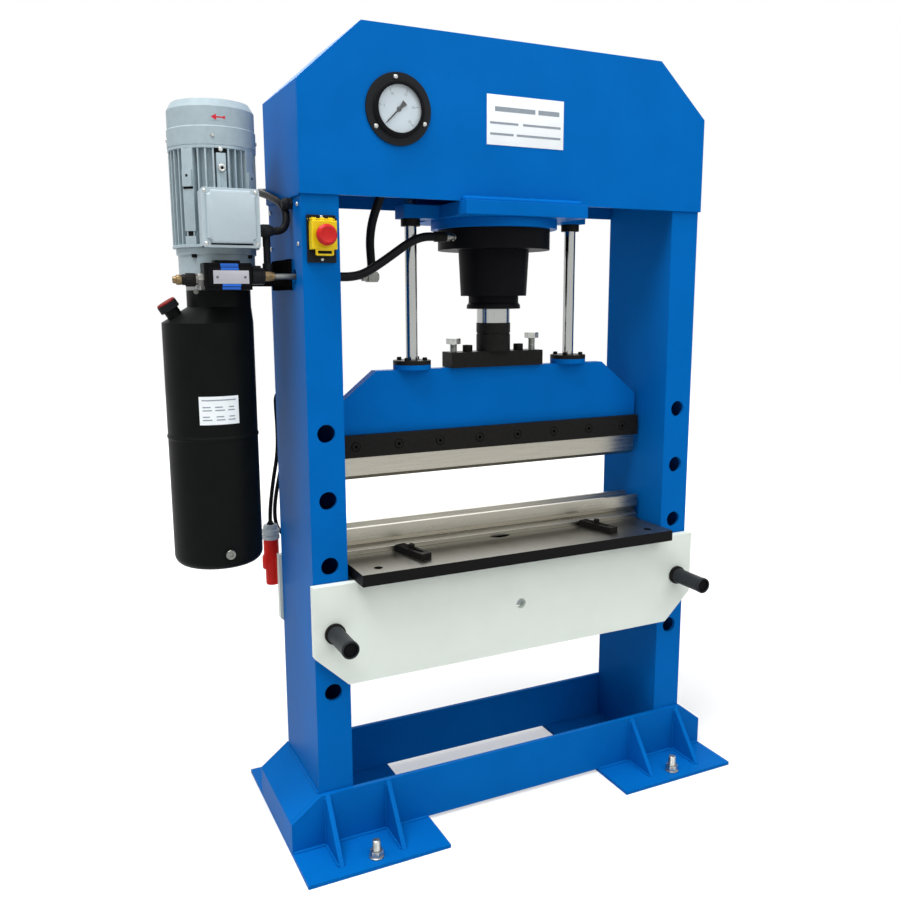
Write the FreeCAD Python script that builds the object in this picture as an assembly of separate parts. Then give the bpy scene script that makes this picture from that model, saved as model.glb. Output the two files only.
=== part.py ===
import FreeCAD, Part
import math
import os

from FreeCAD import Vector

os.makedirs("parts", exist_ok=True)

# A bending press with a 1.6 m welded frame, a vertical cylinder in its crown, a guided ram with a
# bending blade, a height-adjustable bed with a V-die, and a hydraulic power unit on its left column.
# Millimetres. The origin is on the floor, midway between the columns and midway front to back.
# X runs to the right seen from the front, Y to the back and Z up.

# ---- Frame ----
frame_height = 1600.0
throat_width = 772.0
column_width = 72.0
column_depth = 230.0
column_wall = 8.0
column_lap = 186.0
crown_height = 306.0
crown_plate_thickness = 6.0
crown_cover_thickness = 3.0
crown_chamfer_width = 123.0
crown_chamfer_height = 110.0
base_height = 118.0
base_plate_thickness = 10.0
base_end_reach = 62.0
base_end_height = 70.0
base_cover_thickness = 6.0
foot_thickness = 8.0
foot_inward_reach = 166.0
foot_side_reach = 110.0
gusset_thickness = 10.0
gusset_spacing = 132.0
gusset_inset = 8.0
gusset_reach = 86.0
anchor_inset = 15.0
anchor_reach = 81.0
anchor_radius = 8.0
anchor_top = 45.0
anchor_nut_flats = 24.0
anchor_nut_height = 13.0
anchor_washer_radius = 15.0
anchor_washer_height = 3.0

# ---- Pin holes and bed ----
pin_hole_radius = 18.0
pin_hole_pitch = 131.0
pin_hole_count = 5
pin_hole_drop = 441.0
bed_hole_index = 3
bed_rise = 98.0
bed_drop = 112.0
bed_end_overhang = 6.0
bed_plate_thickness = 16.0
bed_side_gap = 2.0
bed_chamfer_width = 69.0
bed_chamfer_height = 66.0
bed_centre_hole_radius = 11.0
bed_centre_hole_drop = 5.0
bed_tie_thickness = 12.0
bed_tie_height = 150.0
bed_tie_inset = 20.0
bed_inner_tie_x = 91.5
pin_radius = 17.7
pin_ring_radius = 20.0
pin_ring_width = 8.0
pin_grip_radius = 16.5
pin_grip_length = 81.0
pin_grip_rounding = 4.0
pin_tail = 12.0
running_gap = 0.3
cut_past = 1.0

# ---- Table, die and die clamps ----
tool_end_clearance = 9.0
table_end_clearance = 11.0
table_front_overhang = 38.0
table_back_inset = 15.0
table_thickness = 24.0
table_bolt_hole_radius = 9.0
table_bolt_hole_inset = 45.0
table_bolt_hole_setback = 34.0
table_centre_hole_radius = 33.0
table_centre_hole_y = -15.0
die_width = 58.0
die_height = 57.0
die_groove = 20.0
die_front_groove = 10.0
die_front_groove_depth = 12.0
die_back_groove = 15.0
die_bottom_groove = 10.0
die_groove_z = 20.0
tool_plane_y = -6.0
clamp_width = 24.0
clamp_length = 95.0
clamp_height = 13.0
clamp_slot_width = 9.0
clamp_slot_margin = 14.0
clamp_bolt_setback = 43.0
clamp_bolt_key = 6.5
clamp_bolt_head_radius = 6.5
clamp_bolt_head_height = 8.0
clamp_skew = 14.0
clamp_left_x = -234.0
clamp_right_x = 229.0

# ---- Ram ----
ram_thickness = 26.0
ram_height = 175.0
ram_shoulder_height = 97.0
ram_chamfer_width = 97.0
blade_thickness = 14.0
blade_hang = 48.0
blade_seat = 14.0
blade_nose_height = 8.0
holder_bar_height = 46.0
holder_bar_thickness = 15.0
holder_screw_height = 23.0
holder_screw_pitch = 95.0
holder_screw_count = 8
holder_screw_radius = 6.0
holder_head_radius = 9.0
holder_head_height = 12.0
holder_recess_depth = 11.0
screw_clearance = 0.5
holder_screw_grip = 20.8
base_block_half_length = 112.0
base_block_depth = 50.0
base_block_height = 33.0
coupling_radius = 37.0
coupling_height = 61.0
coupling_groove_height = 38.0
coupling_groove_width = 3.0
coupling_groove_depth = 1.5
hex_bolt_x = 97.0
hex_bolt_radius = 8.0
hex_bolt_flats = 27.0
hex_head_height = 12.0
hex_head_lift_left = 17.0
hex_head_lift_right = 26.0
socket_screw_x = 63.0
socket_head_radius = 10.8
socket_head_height = 14.0
thread_depth = 35.0
socket_key = 10.0
guide_x = 194.0
guide_rod_radius = 12.5
guide_rod_rise = 126.0
guide_rod_chamfer = 2.0
guide_pad_radius = 40.0
guide_pad_height = 10.0
guide_flange_height = 9.0

# ---- Cylinder ----
mount_plate_thickness = 27.0
mount_slab_half_length = 140.0
mount_slab_overhang = 28.0
guide_ear_half_length = 218.0
guide_ear_depth = 50.0
bush_collar_radius = 20.0
bush_body_radius = 17.0
bush_collar_height = 15.0
slide_clearance = 0.05
flange_radius = 135.0
flange_height = 18.0
barrel_spigot_radius = 62.0
barrel_collar_radius = 120.0
barrel_collar_height = 42.0
barrel_top_radius = 76.0
barrel_low_radius = 71.0
barrel_body_height = 96.0
barrel_neck_radius = 54.0
barrel_neck_height = 14.0
barrel_bore_radius = 50.0
barrel_floor = 18.0
barrel_cap = 12.0
barrel_spigot_height = 18.0
gland_ring_radius = 58.0
gland_ring_height = 12.0
rod_radius = 36.0
rod_show = 31.0
piston_height = 45.0
piston_lift = 110.0
seal_groove_inset = 11.0
seal_groove_depth = 3.0
seal_groove_width = 5.0

# ---- Pressure gauge ----
gauge_inset = 118.0
gauge_lift = 158.0
gauge_flange_radius = 65.0
gauge_flange_thickness = 4.0
gauge_case_radius = 50.0
gauge_case_wall = 3.0
gauge_case_length = 46.0
gauge_rim_height = 6.0
gauge_rim_taper = 1.0
gauge_dial_thickness = 1.0
gauge_lens_thickness = 3.0
gauge_shaft_radius = 1.5
needle_hub_radius = 4.5
needle_thickness = 1.0
needle_length = 36.0
needle_tail = 12.0
needle_half_width = 1.2
needle_tail_half_width = 3.0
needle_rest_turn = -135.0

# ---- Motor switch ----
switch_drop = 79.5
switch_width = 54.0
switch_height = 85.0
switch_plate_thickness = 6.0
switch_body_width = 32.0
switch_body_height = 60.0
switch_body_depth = 35.0
flap_width = 48.0
flap_height = 51.0
flap_depth = 18.0
flap_wall = 2.0
flap_drop = 19.5
hinge_rod_radius = 1.5
mushroom_lift = 5.5
mushroom_radius = 19.0
mushroom_height = 12.0
mushroom_back_radius = 15.0
mushroom_undercut = 3.0
mushroom_rounding = 4.0
mushroom_shoulder_radius = 16.2
mushroom_crown = 1.0
mushroom_face_radius = 11.5
mushroom_stem_radius = 6.0
mushroom_travel = 5.0
stop_button_radius = 7.0
start_button_radius = 6.0
start_button_lift = 21.5
button_length = 6.0
button_seat = 1.0

# ---- Power unit ----
unit_reach = 124.0
unit_y = 34.0
manifold_drop = 171.0
motor_core_radius = 66.0
motor_fin_radius = 79.0
motor_fin_thickness = 2.6
motor_fin_count = 36
fin_root = 2.0
box_side_share = 0.83
motor_length = 180.0
motor_shield_thickness = 12.0
stator_bore_radius = 38.0
shaft_radius = 12.0
rotor_end_gap = 20.0
cowl_radius = 79.0
cowl_lip_radius = 80.5
cowl_lip_height = 31.0
cowl_shoulder_height = 66.0
cowl_height = 80.0
cowl_top_radius = 71.0
cowl_wall = 2.0
cowl_slot_count = 18
cowl_slot_width = 4.0
cowl_slot_inner_radius = 21.0
cowl_slot_outer_radius = 64.0
fan_gap = 12.0
fan_height = 30.0
fan_radius = 68.0
fan_hub_radius = 24.0
fan_disc_radius = 54.0
shaft_end_gap = 2.0
fan_blade_count = 7
fan_blade_thickness = 3.0
housing_flange_radius = 74.0
housing_flange_height = 12.0
housing_radius = 71.0
housing_height = 47.0
housing_bore_radius = 48.0
box_size = 103.0
box_lid_thickness = 6.0
box_lid_rounding = 6.0
box_pad_inset = 10.0
box_depth = 47.0
box_offset = 3.5
box_drop = 3.0
box_wall = 3.0
gland_radius = 12.5
manifold_side = 100.0
manifold_height = 30.0
manifold_flange_radius = 60.0
manifold_flange_height = 8.0
manifold_nose_length = 24.0
valve_left_reach = 46.0
valve_right_reach = 40.0
valve_depth = 38.0
valve_height = 48.0
port_lift = 25.0
solenoid_radius = 15.5
solenoid_length = 26.0
relief_lift = 18.0
relief_hex_flats = 22.0
relief_hex_length = 13.0
relief_nut_radius = 12.0
relief_nut_length = 24.0
relief_screw_radius = 9.0
relief_screw_length = 15.0
relief_stem_radius = 4.0
bracket_height = 58.0
bracket_plate_thickness = 6.0
bracket_plate_width = 128.0
bracket_arm_height = 27.0
tank_offset = 23.0
tank_radius = 85.5
tank_height = 533.0
tank_corner = 20.0
tank_shoulder_drop = 60.0
tank_neck_height = 31.0
tank_neck_radius = 60.0
tank_wall = 3.0
tank_bead_lift = 256.0
tank_bead_height = 10.0
tank_bead_depth = 1.5
filler_tilt = 32.0
filler_reach = 51.0
filler_setback = 10.0
filler_radius = 14.0
filler_length = 48.0
filler_sink = 5.0
filler_cap_radius = 19.0
filler_cap_height = 18.0
filler_cap_roof = 4.2
filler_cap_edge = 2.0
drain_offset = 5.0
drain_lift = 33.0
drain_boss_radius = 12.0
drain_boss_height = 3.5
pump_radius = 38.0
pump_height = 95.0
strainer_radius = 22.0
strainer_height = 60.0

# ---- Pipes, hoses and cords ----
hose_diameter = 17.5
pipe_diameter = 11.5
arc_share = 0.45
conduit_diameter = 14.0
cord_diameter = 8.5
hose_hole_radius = 14.0
pipe_nut_flats = 17.0
pipe_nut_length = 20.0
crimp_radius = 10.5
crimp_length = 26.0
port_stud_radius = 8.5
cylinder_port_y = -40.0
cylinder_port_lift = 23.0
cylinder_port_depth = 7.0
gauge_elbow_drop = 24.0
gauge_crimp_radius = 9.5
gauge_crimp_length = 18.0
gauge_stub_radius = 5.0
gauge_stub_length = 17.0
grommet_radius = 8.0
plug_x = -470.0
plug_y = 155.0
plug_top = 619.0
plug_collar_radius = 19.0
plug_collar_height = 33.0
plug_collar_edge = 3.0
plug_body_radius = 16.5
plug_body_height = 35.0
plug_band_radius = 20.0
plug_band_height = 30.0
plug_band_taper = 6.0
plug_nose_radius = 14.0
plug_nose_height = 37.0
plug_nose_edge = 3.0

pressure_hose_route = [
    (-400, -59, 1148), (-372, -59, 1148), (-343, -56, 1148.5), (-317, -49, 1154), (-290, -44, 1168),
    (-255, -41, 1190), (-224, -40, 1211), (-203, -40, 1222.5), (-184, -40, 1228.5), (-170, -40, 1230),
    (-159, -40, 1230),
]
gauge_hose_route = [
    (-268, -90, 1384), (-269, -87, 1362), (-274, -75, 1332), (-281.5, -50, 1296), (-286.5, -22, 1257),
    (-284.5, -3, 1222), (-280, 6.5, 1198), (-277, 10, 1174),
]
conduit_route = [
    (-496, -62, 1230), (-485, -62, 1230), (-474, -60, 1237), (-469, -57, 1252), (-468, -47, 1270),
    (-468.5, -24, 1284), (-469, 12, 1294), (-469, 62, 1306), (-470, 120, 1317), (-466, 166, 1325),
    (-444, 202, 1330), (-407, 215, 1333), (-371, 203, 1332), (-350, 170, 1330), (-350, 139, 1330),
]
cord_route = [
    (-424, 123, 577), (-424, 136, 577), (-427, 150, 583), (-437, 164, 596), (-446, 172, 614),
    (-451, 175, 642), (-449, 174, 682), (-441, 170, 732), (-430, 164, 785), (-421.5, 159, 838),
    (-418.3, 157, 878), (-418.5, 156, 900.7), (-429.3, 155.5, 911.5), (-444.7, 155, 911.5),
    (-455.5, 155, 900.7), (-455.9, 155, 878), (-454.5, 155, 838), (-455, 155, 779),
    (-463.5, 155, 722), (-468, 155, 674), (-470, 155, 641), (-470, 155, 619),
]

# ---- Sizes worked out from the ones above ----
column_inner_x = throat_width / 2
column_outer_x = column_inner_x + column_width
column_centre_x = (column_inner_x + column_outer_x) / 2
column_half_depth = column_depth / 2
column_front_y = -column_half_depth
crown_bottom = frame_height - crown_height
column_top = crown_bottom + column_lap
crown_half_depth = column_half_depth + crown_plate_thickness
crown_front_y = -crown_half_depth
crown_half_length = column_outer_x + crown_cover_thickness
base_half_depth = column_half_depth + base_plate_thickness
base_half_length = column_outer_x + base_end_reach
foot_inner_x = column_inner_x - foot_inward_reach
foot_half_depth = base_half_depth + foot_side_reach
gusset_middle_x = column_inner_x - gusset_inset
anchor_x = column_inner_x - anchor_inset
anchor_y = base_half_depth + anchor_reach
bed_inner_y = column_half_depth + bed_side_gap
bed_outer_y = bed_inner_y + bed_plate_thickness
bed_half_length = column_outer_x + bed_end_overhang
bed_tie_spread = column_inner_x - bed_tie_inset
pin_hole_zs = [crown_bottom - pin_hole_drop - index * pin_hole_pitch for index in range(pin_hole_count)]
bed_pin_z = pin_hole_zs[bed_hole_index]
bed_centre_hole_z = bed_pin_z - bed_centre_hole_drop
bed_top = bed_pin_z + bed_rise
bed_bottom = bed_pin_z - bed_drop
table_top = bed_top + table_thickness
table_half_length = column_inner_x - table_end_clearance
table_front_y = -bed_outer_y - table_front_overhang
table_back_y = bed_outer_y - table_back_inset
table_bolt_hole_x = table_half_length - table_bolt_hole_inset
table_bolt_hole_y = table_front_y + table_bolt_hole_setback
die_half_length = column_inner_x - tool_end_clearance
die_top = table_top + die_height
die_front_y = tool_plane_y - die_width / 2
clamp_back_reach = (clamp_bolt_setback * math.cos(math.radians(clamp_skew))
                    + clamp_width / 2 * math.sin(math.radians(clamp_skew)))
clamp_bolt_y = die_front_y - running_gap - clamp_back_reach
clamp_bolt_radius = clamp_slot_width / 2 - screw_clearance
clamp_bottom = table_top + running_gap
clamp_top = clamp_bottom + clamp_height
mount_slab_depth = 2 * (crown_half_depth + mount_slab_overhang)
mount_plate_bottom = crown_bottom - mount_plate_thickness
flange_bottom = mount_plate_bottom - flange_height
collar_bottom = flange_bottom - barrel_collar_height
barrel_bottom = collar_bottom - barrel_body_height
neck_bottom = barrel_bottom - barrel_neck_height
barrel_floor_z = neck_bottom + barrel_floor
barrel_top = crown_bottom + barrel_spigot_height
piston_bottom = barrel_floor_z + piston_lift
rod_bore_radius = rod_radius + slide_clearance
gland_bottom = neck_bottom - gland_ring_height
rod_end_z = gland_bottom - rod_show
base_block_top = rod_end_z - coupling_height
ram_top = base_block_top - base_block_height
ram_bottom = ram_top - ram_height
ram_shoulder_z = ram_bottom + ram_shoulder_height
ram_half_length = column_inner_x - tool_end_clearance
ram_flat_half_length = ram_half_length - ram_chamfer_width
ram_front_y = -ram_thickness / 2
ram_back_y = ram_thickness / 2
holder_front_y = ram_front_y - holder_bar_thickness
blade_bottom = ram_bottom - blade_hang
blade_top = ram_bottom + blade_seat
holder_screw_z = ram_bottom + holder_screw_height
holder_screw_first_x = -holder_screw_pitch * (holder_screw_count - 1) / 2
holder_screw_xs = [holder_screw_first_x + index * holder_screw_pitch for index in range(holder_screw_count)]
base_screw_xs = [-hex_bolt_x, -socket_screw_x, socket_screw_x, hex_bolt_x]
guide_pad_top = ram_top + guide_pad_height
guide_seat_z = ram_top - guide_pad_height
guide_rod_top = crown_bottom + guide_rod_rise
gauge_x = gauge_inset - column_inner_x
gauge_z = crown_bottom + gauge_lift
switch_x = -column_centre_x
switch_z = crown_bottom - switch_drop
flap_bottom_z = switch_z - flap_drop
mushroom_z = switch_z + mushroom_lift
start_button_z = switch_z + start_button_lift
switch_left_x = switch_x - switch_width / 2
switch_right_x = switch_x + switch_width / 2
switch_front_y = column_front_y - switch_plate_thickness
flap_back_y = switch_front_y - running_gap
flap_front_y = flap_back_y - flap_depth
flap_top_z = flap_bottom_z + flap_height
hinge_radius = 2 * hinge_rod_radius
hinge_y = flap_back_y - hinge_radius
hinge_z = flap_top_z + hinge_radius
unit_x = -column_outer_x - unit_reach
manifold_bottom = crown_bottom - manifold_drop
housing_bottom = manifold_bottom + manifold_height
motor_bottom = housing_bottom + housing_height
motor_top = motor_bottom + motor_length
rotor_bottom = motor_bottom + rotor_end_gap
rotor_top = motor_top - rotor_end_gap
cowl_shoulder_z = motor_top + cowl_shoulder_height
cowl_top = motor_top + cowl_height
fan_bottom = motor_top + fan_gap
box_centre_x = unit_x + box_offset
box_front_y = unit_y - motor_fin_radius - box_depth
box_bottom_z = motor_bottom - box_drop
valve_left_x = unit_x - valve_left_reach
valve_right_x = unit_x + valve_right_reach
valve_back_y = unit_y - manifold_side / 2 - manifold_nose_length
valve_front_y = valve_back_y - valve_depth
port_axis_y = (valve_front_y + valve_back_y) / 2
port_axis_z = manifold_bottom + port_lift
relief_z = manifold_bottom + relief_lift
relief_hex_x = valve_left_x - relief_hex_length
solenoid_end_x = valve_right_x + solenoid_length
bracket_top = manifold_bottom + bracket_height
bracket_back_y = unit_y + manifold_side / 2
bracket_front_y = bracket_back_y - bracket_plate_width
tank_x = unit_x - tank_offset
tank_bottom = manifold_bottom - tank_height
tank_shoulder_z = manifold_bottom - tank_shoulder_drop
tank_neck_z = manifold_bottom - tank_neck_height
tank_bead_z = tank_bottom + tank_bead_lift
filler_base = Vector(tank_x - filler_reach, unit_y - filler_setback, tank_shoulder_z - filler_sink)
filler_axis = Vector(-math.sin(math.radians(filler_tilt)), 0, math.cos(math.radians(filler_tilt)))
drain_x = tank_x + drain_offset
drain_z = tank_bottom + drain_lift
drain_boss_y = unit_y - tank_radius - drain_boss_height
cylinder_port_x = cylinder_port_depth - barrel_collar_radius
cylinder_port_z = collar_bottom + cylinder_port_lift
gauge_pipe_x, gauge_pipe_y = gauge_hose_route[-1][0], gauge_hose_route[-1][1]
gauge_pipe_z = gauge_hose_route[-1][2] - gauge_elbow_drop


def box(x0, x1, y0, y1, z0, z1):
    return Part.makeBox(x1 - x0, y1 - y0, z1 - z0, Vector(x0, y0, z0))


def rod(start, end, radius):
    start = Vector(*start)
    line = Vector(*end) - start
    return Part.makeCylinder(radius, line.Length, start, line)


def drill(bottom, mouth, radius):
    """A tool for a round hole: exact at its bottom, and a little past the face at its mouth."""
    out = Vector(*mouth) - Vector(*bottom)
    return rod(bottom, Vector(*mouth) + out.normalize() * cut_past, radius)


def through(start, end, radius):
    """A tool for a round hole that goes a little past the faces at both of its ends."""
    back = Vector(*start) - Vector(*end)
    return drill(Vector(*start) + back.normalize() * cut_past, end, radius)


def flat(points, plane, low, high):
    """A plate with the given outline in plane 'xz', 'yz' or 'xy', from low to high across it."""
    order = {"xz": lambda a, b: Vector(a, low, b), "yz": lambda a, b: Vector(low, a, b),
             "xy": lambda a, b: Vector(a, b, low)}[plane]
    across = {"xz": Vector(0, high - low, 0), "yz": Vector(high - low, 0, 0),
              "xy": Vector(0, 0, high - low)}[plane]
    corners = [order(a, b) for a, b in points]
    return Part.Face(Part.makePolygon(corners + corners[:1])).extrude(across)


def turned(profile, base, axis=(0, 0, 1)):
    """A turned piece: (radius, height) points of its half section, on an axis that starts at base."""
    corners = [Vector(radius, 0, height) for radius, height in profile]
    face = Part.Face(Part.makePolygon(corners + corners[:1]))
    piece = face.revolve(Vector(0, 0, 0), Vector(0, 0, 1), 360)
    piece.Placement = FreeCAD.Placement(Vector(*base), FreeCAD.Rotation(Vector(0, 0, 1), Vector(*axis)))
    return piece


def hexagon(base, axis, flats, length):
    radius = flats / math.sqrt(3)
    turns = [math.radians(60 * step) for step in range(6)]
    corners = [Vector(radius * math.cos(turn), radius * math.sin(turn), 0) for turn in turns]
    piece = Part.Face(Part.makePolygon(corners + corners[:1])).extrude(Vector(0, 0, length))
    piece.Placement = FreeCAD.Placement(Vector(*base), FreeCAD.Rotation(Vector(0, 0, 1), Vector(*axis)))
    return piece


def around(piece, count, x, y):
    """Copies of a piece made at the origin, spread evenly about the vertical axis through x, y."""
    copies = []
    for index in range(count):
        copy = piece.copy()
        copy.rotate(Vector(0, 0, 0), Vector(0, 0, 1), 360.0 * index / count)
        copy.translate(Vector(x, y, 0))
        copies.append(copy)
    return copies


def mirrored(points):
    """The outline's points followed by their mirror images, for a plate symmetric about X = 0."""
    return points + [(-x, z) for x, z in reversed(points)]


def folded_strip(points, thickness):
    """Outline of a folded sheet whose outer side follows the points; it lies to their right."""
    inner = []
    for index, (x, z) in enumerate(points):
        normals = []
        for start, end in ((index - 1, index), (index, index + 1)):
            if start >= 0 and end < len(points):
                dx, dz = points[end][0] - points[start][0], points[end][1] - points[start][1]
                length = math.hypot(dx, dz)
                normals.append((dz / length, -dx / length))
        nx, nz = sum(n[0] for n in normals), sum(n[1] for n in normals)
        scale = thickness / (nx * normals[0][0] + nz * normals[0][1])
        inner.append((x + nx * scale, z + nz * scale))
    return points + inner[::-1]


def tube(route, diameter, name):
    """A hose or cord: straight runs joined by tangent arcs, each as large as its two runs allow."""
    points = [Vector(*point) for point in route]
    edges, radii, last = [], [], points[0]
    for before, corner, after in zip(points, points[1:], points[2:]):
        into, out = (corner - before), (after - corner)
        shorter = min(into.Length, out.Length)
        into, out = into.normalize(), out.normalize()
        half_turn = into.getAngle(out) / 2
        setback = arc_share * shorter
        start, end = corner - into * setback, corner + out * setback
        radius = setback / math.tan(half_turn)
        middle = corner + (out - into).normalize() * (radius / math.cos(half_turn) - radius)
        edges.append(Part.LineSegment(last, start).toShape())
        edges.append(Part.Arc(start, middle, end).toShape())
        radii.append(radius)
        last = end
    edges.append(Part.LineSegment(last, points[-1]).toShape())
    path = Part.Wire(edges)
    profile = Part.Wire(Part.makeCircle(diameter / 2, points[0], points[1] - points[0]))
    piece = path.makePipeShell([profile], True, False)
    ratio = piece.Volume / (math.pi * diameter ** 2 / 4 * path.Length)
    print(f"{name}: length {path.Length:.0f}, volume ratio {ratio:.4f}, valid {piece.isValid()},"
          f" radii {' '.join(f'{radius:.0f}' for radius in radii)}")
    return piece


def save(node, *solids):
    shape = solids[0] if len(solids) == 1 else Part.makeCompound(list(solids))
    if not shape.isValid():
        print(f"{node} is not valid")
    shape.exportStep(f"parts/{node}.step")


# ---- Frame ----
def column(side):
    """A box-section column with a pin hole through its front and back walls at each bed height."""
    x0, x1 = sorted((side * column_inner_x, side * column_outer_x))
    x = side * column_centre_x
    piece = box(x0, x1, -column_half_depth, column_half_depth, foot_thickness, column_top)
    piece = piece.cut(box(x0 + column_wall, x1 - column_wall, column_wall - column_half_depth,
                          column_half_depth - column_wall, foot_thickness, column_top))
    for z in pin_hole_zs:
        piece = piece.cut(through((x, -column_half_depth, z), (x, column_half_depth, z), pin_hole_radius))
    return piece


def left_column():
    """The left column also has holes for two pipes and the supply cord, and a window for the switch."""
    inner_wall_x = -column_inner_x - column_wall
    cord_x, cord_z = cord_route[0][0], cord_route[0][2]
    half = switch_body_width / 2 + screw_clearance
    tall = switch_body_height / 2 + screw_clearance
    piece = column(-1)
    piece = piece.cut(through((-column_outer_x, port_axis_y, port_axis_z),
                              (-column_inner_x, port_axis_y, port_axis_z), hose_hole_radius))
    piece = piece.cut(through((inner_wall_x, gauge_pipe_y, gauge_pipe_z),
                              (-column_inner_x, gauge_pipe_y, gauge_pipe_z), hose_hole_radius))
    piece = piece.cut(through((cord_x, column_half_depth - column_wall, cord_z),
                              (cord_x, column_half_depth, cord_z), grommet_radius))
    return piece.cut(box(switch_x - half, switch_x + half, column_front_y - cut_past,
                         column_front_y + column_wall + cut_past, switch_z - tall, switch_z + tall))


def crown_outline():
    return [(-crown_half_length, crown_bottom),
            (-crown_half_length, frame_height - crown_chamfer_height),
            (crown_chamfer_width - crown_half_length, frame_height),
            (crown_half_length - crown_chamfer_width, frame_height),
            (crown_half_length, frame_height - crown_chamfer_height),
            (crown_half_length, crown_bottom)]


def crown_front():
    gauge_hole = through((gauge_x, crown_front_y, gauge_z), (gauge_x, column_front_y, gauge_z),
                         gauge_case_radius + screw_clearance)
    return flat(crown_outline(), "xz", crown_front_y, column_front_y).cut(gauge_hole)


def crown_back():
    x, z = conduit_route[-1][0], conduit_route[-1][2]
    conduit_hole = through((x, column_half_depth, z), (x, crown_half_depth, z), grommet_radius)
    return flat(crown_outline(), "xz", column_half_depth, crown_half_depth).cut(conduit_hole)


def base_end_outline():
    return [(-base_half_length, foot_thickness), (-base_half_length, base_end_height),
            (-column_outer_x, base_height)]


def base_end_cover(side):
    """A folded cover from the foot plate up and over to the column, cut off flush at the column."""
    strip = folded_strip(base_end_outline(), base_cover_thickness)
    slope = (base_height - base_end_height) / (base_half_length - column_outer_x)
    inner_x, inner_z = strip[3]
    strip[3] = (-column_outer_x, inner_z - (inner_x + column_outer_x) * slope)
    return flat([(-side * x, z) for x, z in strip], "xz", -column_half_depth, column_half_depth)


def gusset(x, side):
    points = [(side * base_half_depth, foot_thickness), (side * base_half_depth, base_height),
              (side * (base_half_depth + gusset_reach), foot_thickness)]
    return flat(points, "yz", x - gusset_thickness / 2, x + gusset_thickness / 2)


def foot_plate(side):
    x0, x1 = sorted((side * foot_inner_x, side * base_half_length))
    x = side * anchor_x
    piece = box(x0, x1, -foot_half_depth, foot_half_depth, 0, foot_thickness)
    for y in (-anchor_y, anchor_y):
        piece = piece.cut(through((x, y, 0), (x, y, foot_thickness), anchor_radius + screw_clearance))
    return piece


def anchor_bolt(x, y):
    """The stud of a floor anchor, with its washer and nut."""
    nut_base = foot_thickness + anchor_washer_height
    stud = rod((x, y, 0), (x, y, anchor_top), anchor_radius)
    washer = rod((x, y, foot_thickness), (x, y, nut_base), anchor_washer_radius)
    nut = hexagon((x, y, nut_base), (0, 0, 1), anchor_nut_flats, anchor_nut_height)
    return stud.fuse([washer, nut]).removeSplitter()


def make_frame():
    save("column_left", left_column())
    save("column_right", column(1))
    save("crown_plates", crown_front(), crown_back())
    cover = folded_strip(crown_outline(), crown_cover_thickness)
    save("crown_cover", flat(cover, "xz", -column_half_depth, column_half_depth))
    base_outline = mirrored(base_end_outline())
    save("base_plates", flat(base_outline, "xz", -base_half_depth, -column_half_depth),
         flat(base_outline, "xz", column_half_depth, base_half_depth))
    save("base_end_covers", base_end_cover(-1), base_end_cover(1))
    save("foot_plates", foot_plate(-1), foot_plate(1))
    gusset_xs = [side * (gusset_middle_x + step * gusset_spacing / 2) for side in (-1, 1) for step in (-1, 1)]
    save("gussets", *[gusset(x, side) for x in gusset_xs for side in (-1, 1)])
    save("anchor_bolts", *[anchor_bolt(x, y) for x in (-anchor_x, anchor_x) for y in (-anchor_y, anchor_y)])


# ---- Bed ----
def bed_plate(y0, y1):
    points = mirrored([(-bed_half_length + bed_chamfer_width, bed_bottom),
                       (-bed_half_length, bed_bottom + bed_chamfer_height), (-bed_half_length, bed_top)])
    piece = flat(points, "xz", y0, y1)
    piece = piece.cut(through((0, y0, bed_centre_hole_z), (0, y1, bed_centre_hole_z), bed_centre_hole_radius))
    for x in (-column_centre_x, column_centre_x):
        piece = piece.cut(through((x, y0, bed_pin_z), (x, y1, bed_pin_z), pin_hole_radius))
    return piece


def bed_tie(x):
    half = bed_tie_thickness / 2
    return box(x - half, x + half, -bed_inner_y, bed_inner_y, bed_top - bed_tie_height, bed_top)


def bed_pin(side):
    """A pin through the bed and the column, with a ring that stops it and a grip to pull it by."""
    x = side * column_centre_x
    ring_back = -bed_outer_y - running_gap
    ring_front = ring_back - pin_ring_width
    grip_front = ring_front - pin_grip_length
    shank = rod((x, ring_front, bed_pin_z), (x, bed_outer_y + pin_tail, bed_pin_z), pin_radius)
    ring = rod((x, ring_front, bed_pin_z), (x, ring_back, bed_pin_z), pin_ring_radius)
    grip = rod((x, grip_front, bed_pin_z), (x, ring_front, bed_pin_z), pin_grip_radius)
    tip = [edge for edge in grip.Edges if edge.Closed and edge.BoundBox.YMax < ring_front]
    return shank.fuse([ring, grip.makeFillet(pin_grip_rounding, tip)]).removeSplitter()


def make_bed():
    save("bed_plates", bed_plate(-bed_outer_y, -bed_inner_y), bed_plate(bed_inner_y, bed_outer_y))
    tie_xs = [-bed_tie_spread, -bed_inner_tie_x, bed_inner_tie_x, bed_tie_spread]
    save("bed_ties", *[bed_tie(x) for x in tie_xs])
    save("bed_pin_left", bed_pin(-1))
    save("bed_pin_right", bed_pin(1))


# ---- Table, die and die clamps ----
def table_plate():
    piece = box(-table_half_length, table_half_length, table_front_y, table_back_y, bed_top, table_top)
    holes = [(x, table_bolt_hole_y, table_bolt_hole_radius) for x in (-table_bolt_hole_x, table_bolt_hole_x)]
    holes += [(x, clamp_bolt_y, clamp_bolt_radius) for x in (clamp_left_x, clamp_right_x)]
    holes += [(0, table_centre_hole_y, table_centre_hole_radius)]
    for x, y, radius in holes:
        piece = piece.cut(through((x, y, bed_top), (x, y, table_top), radius))
    return piece


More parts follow.
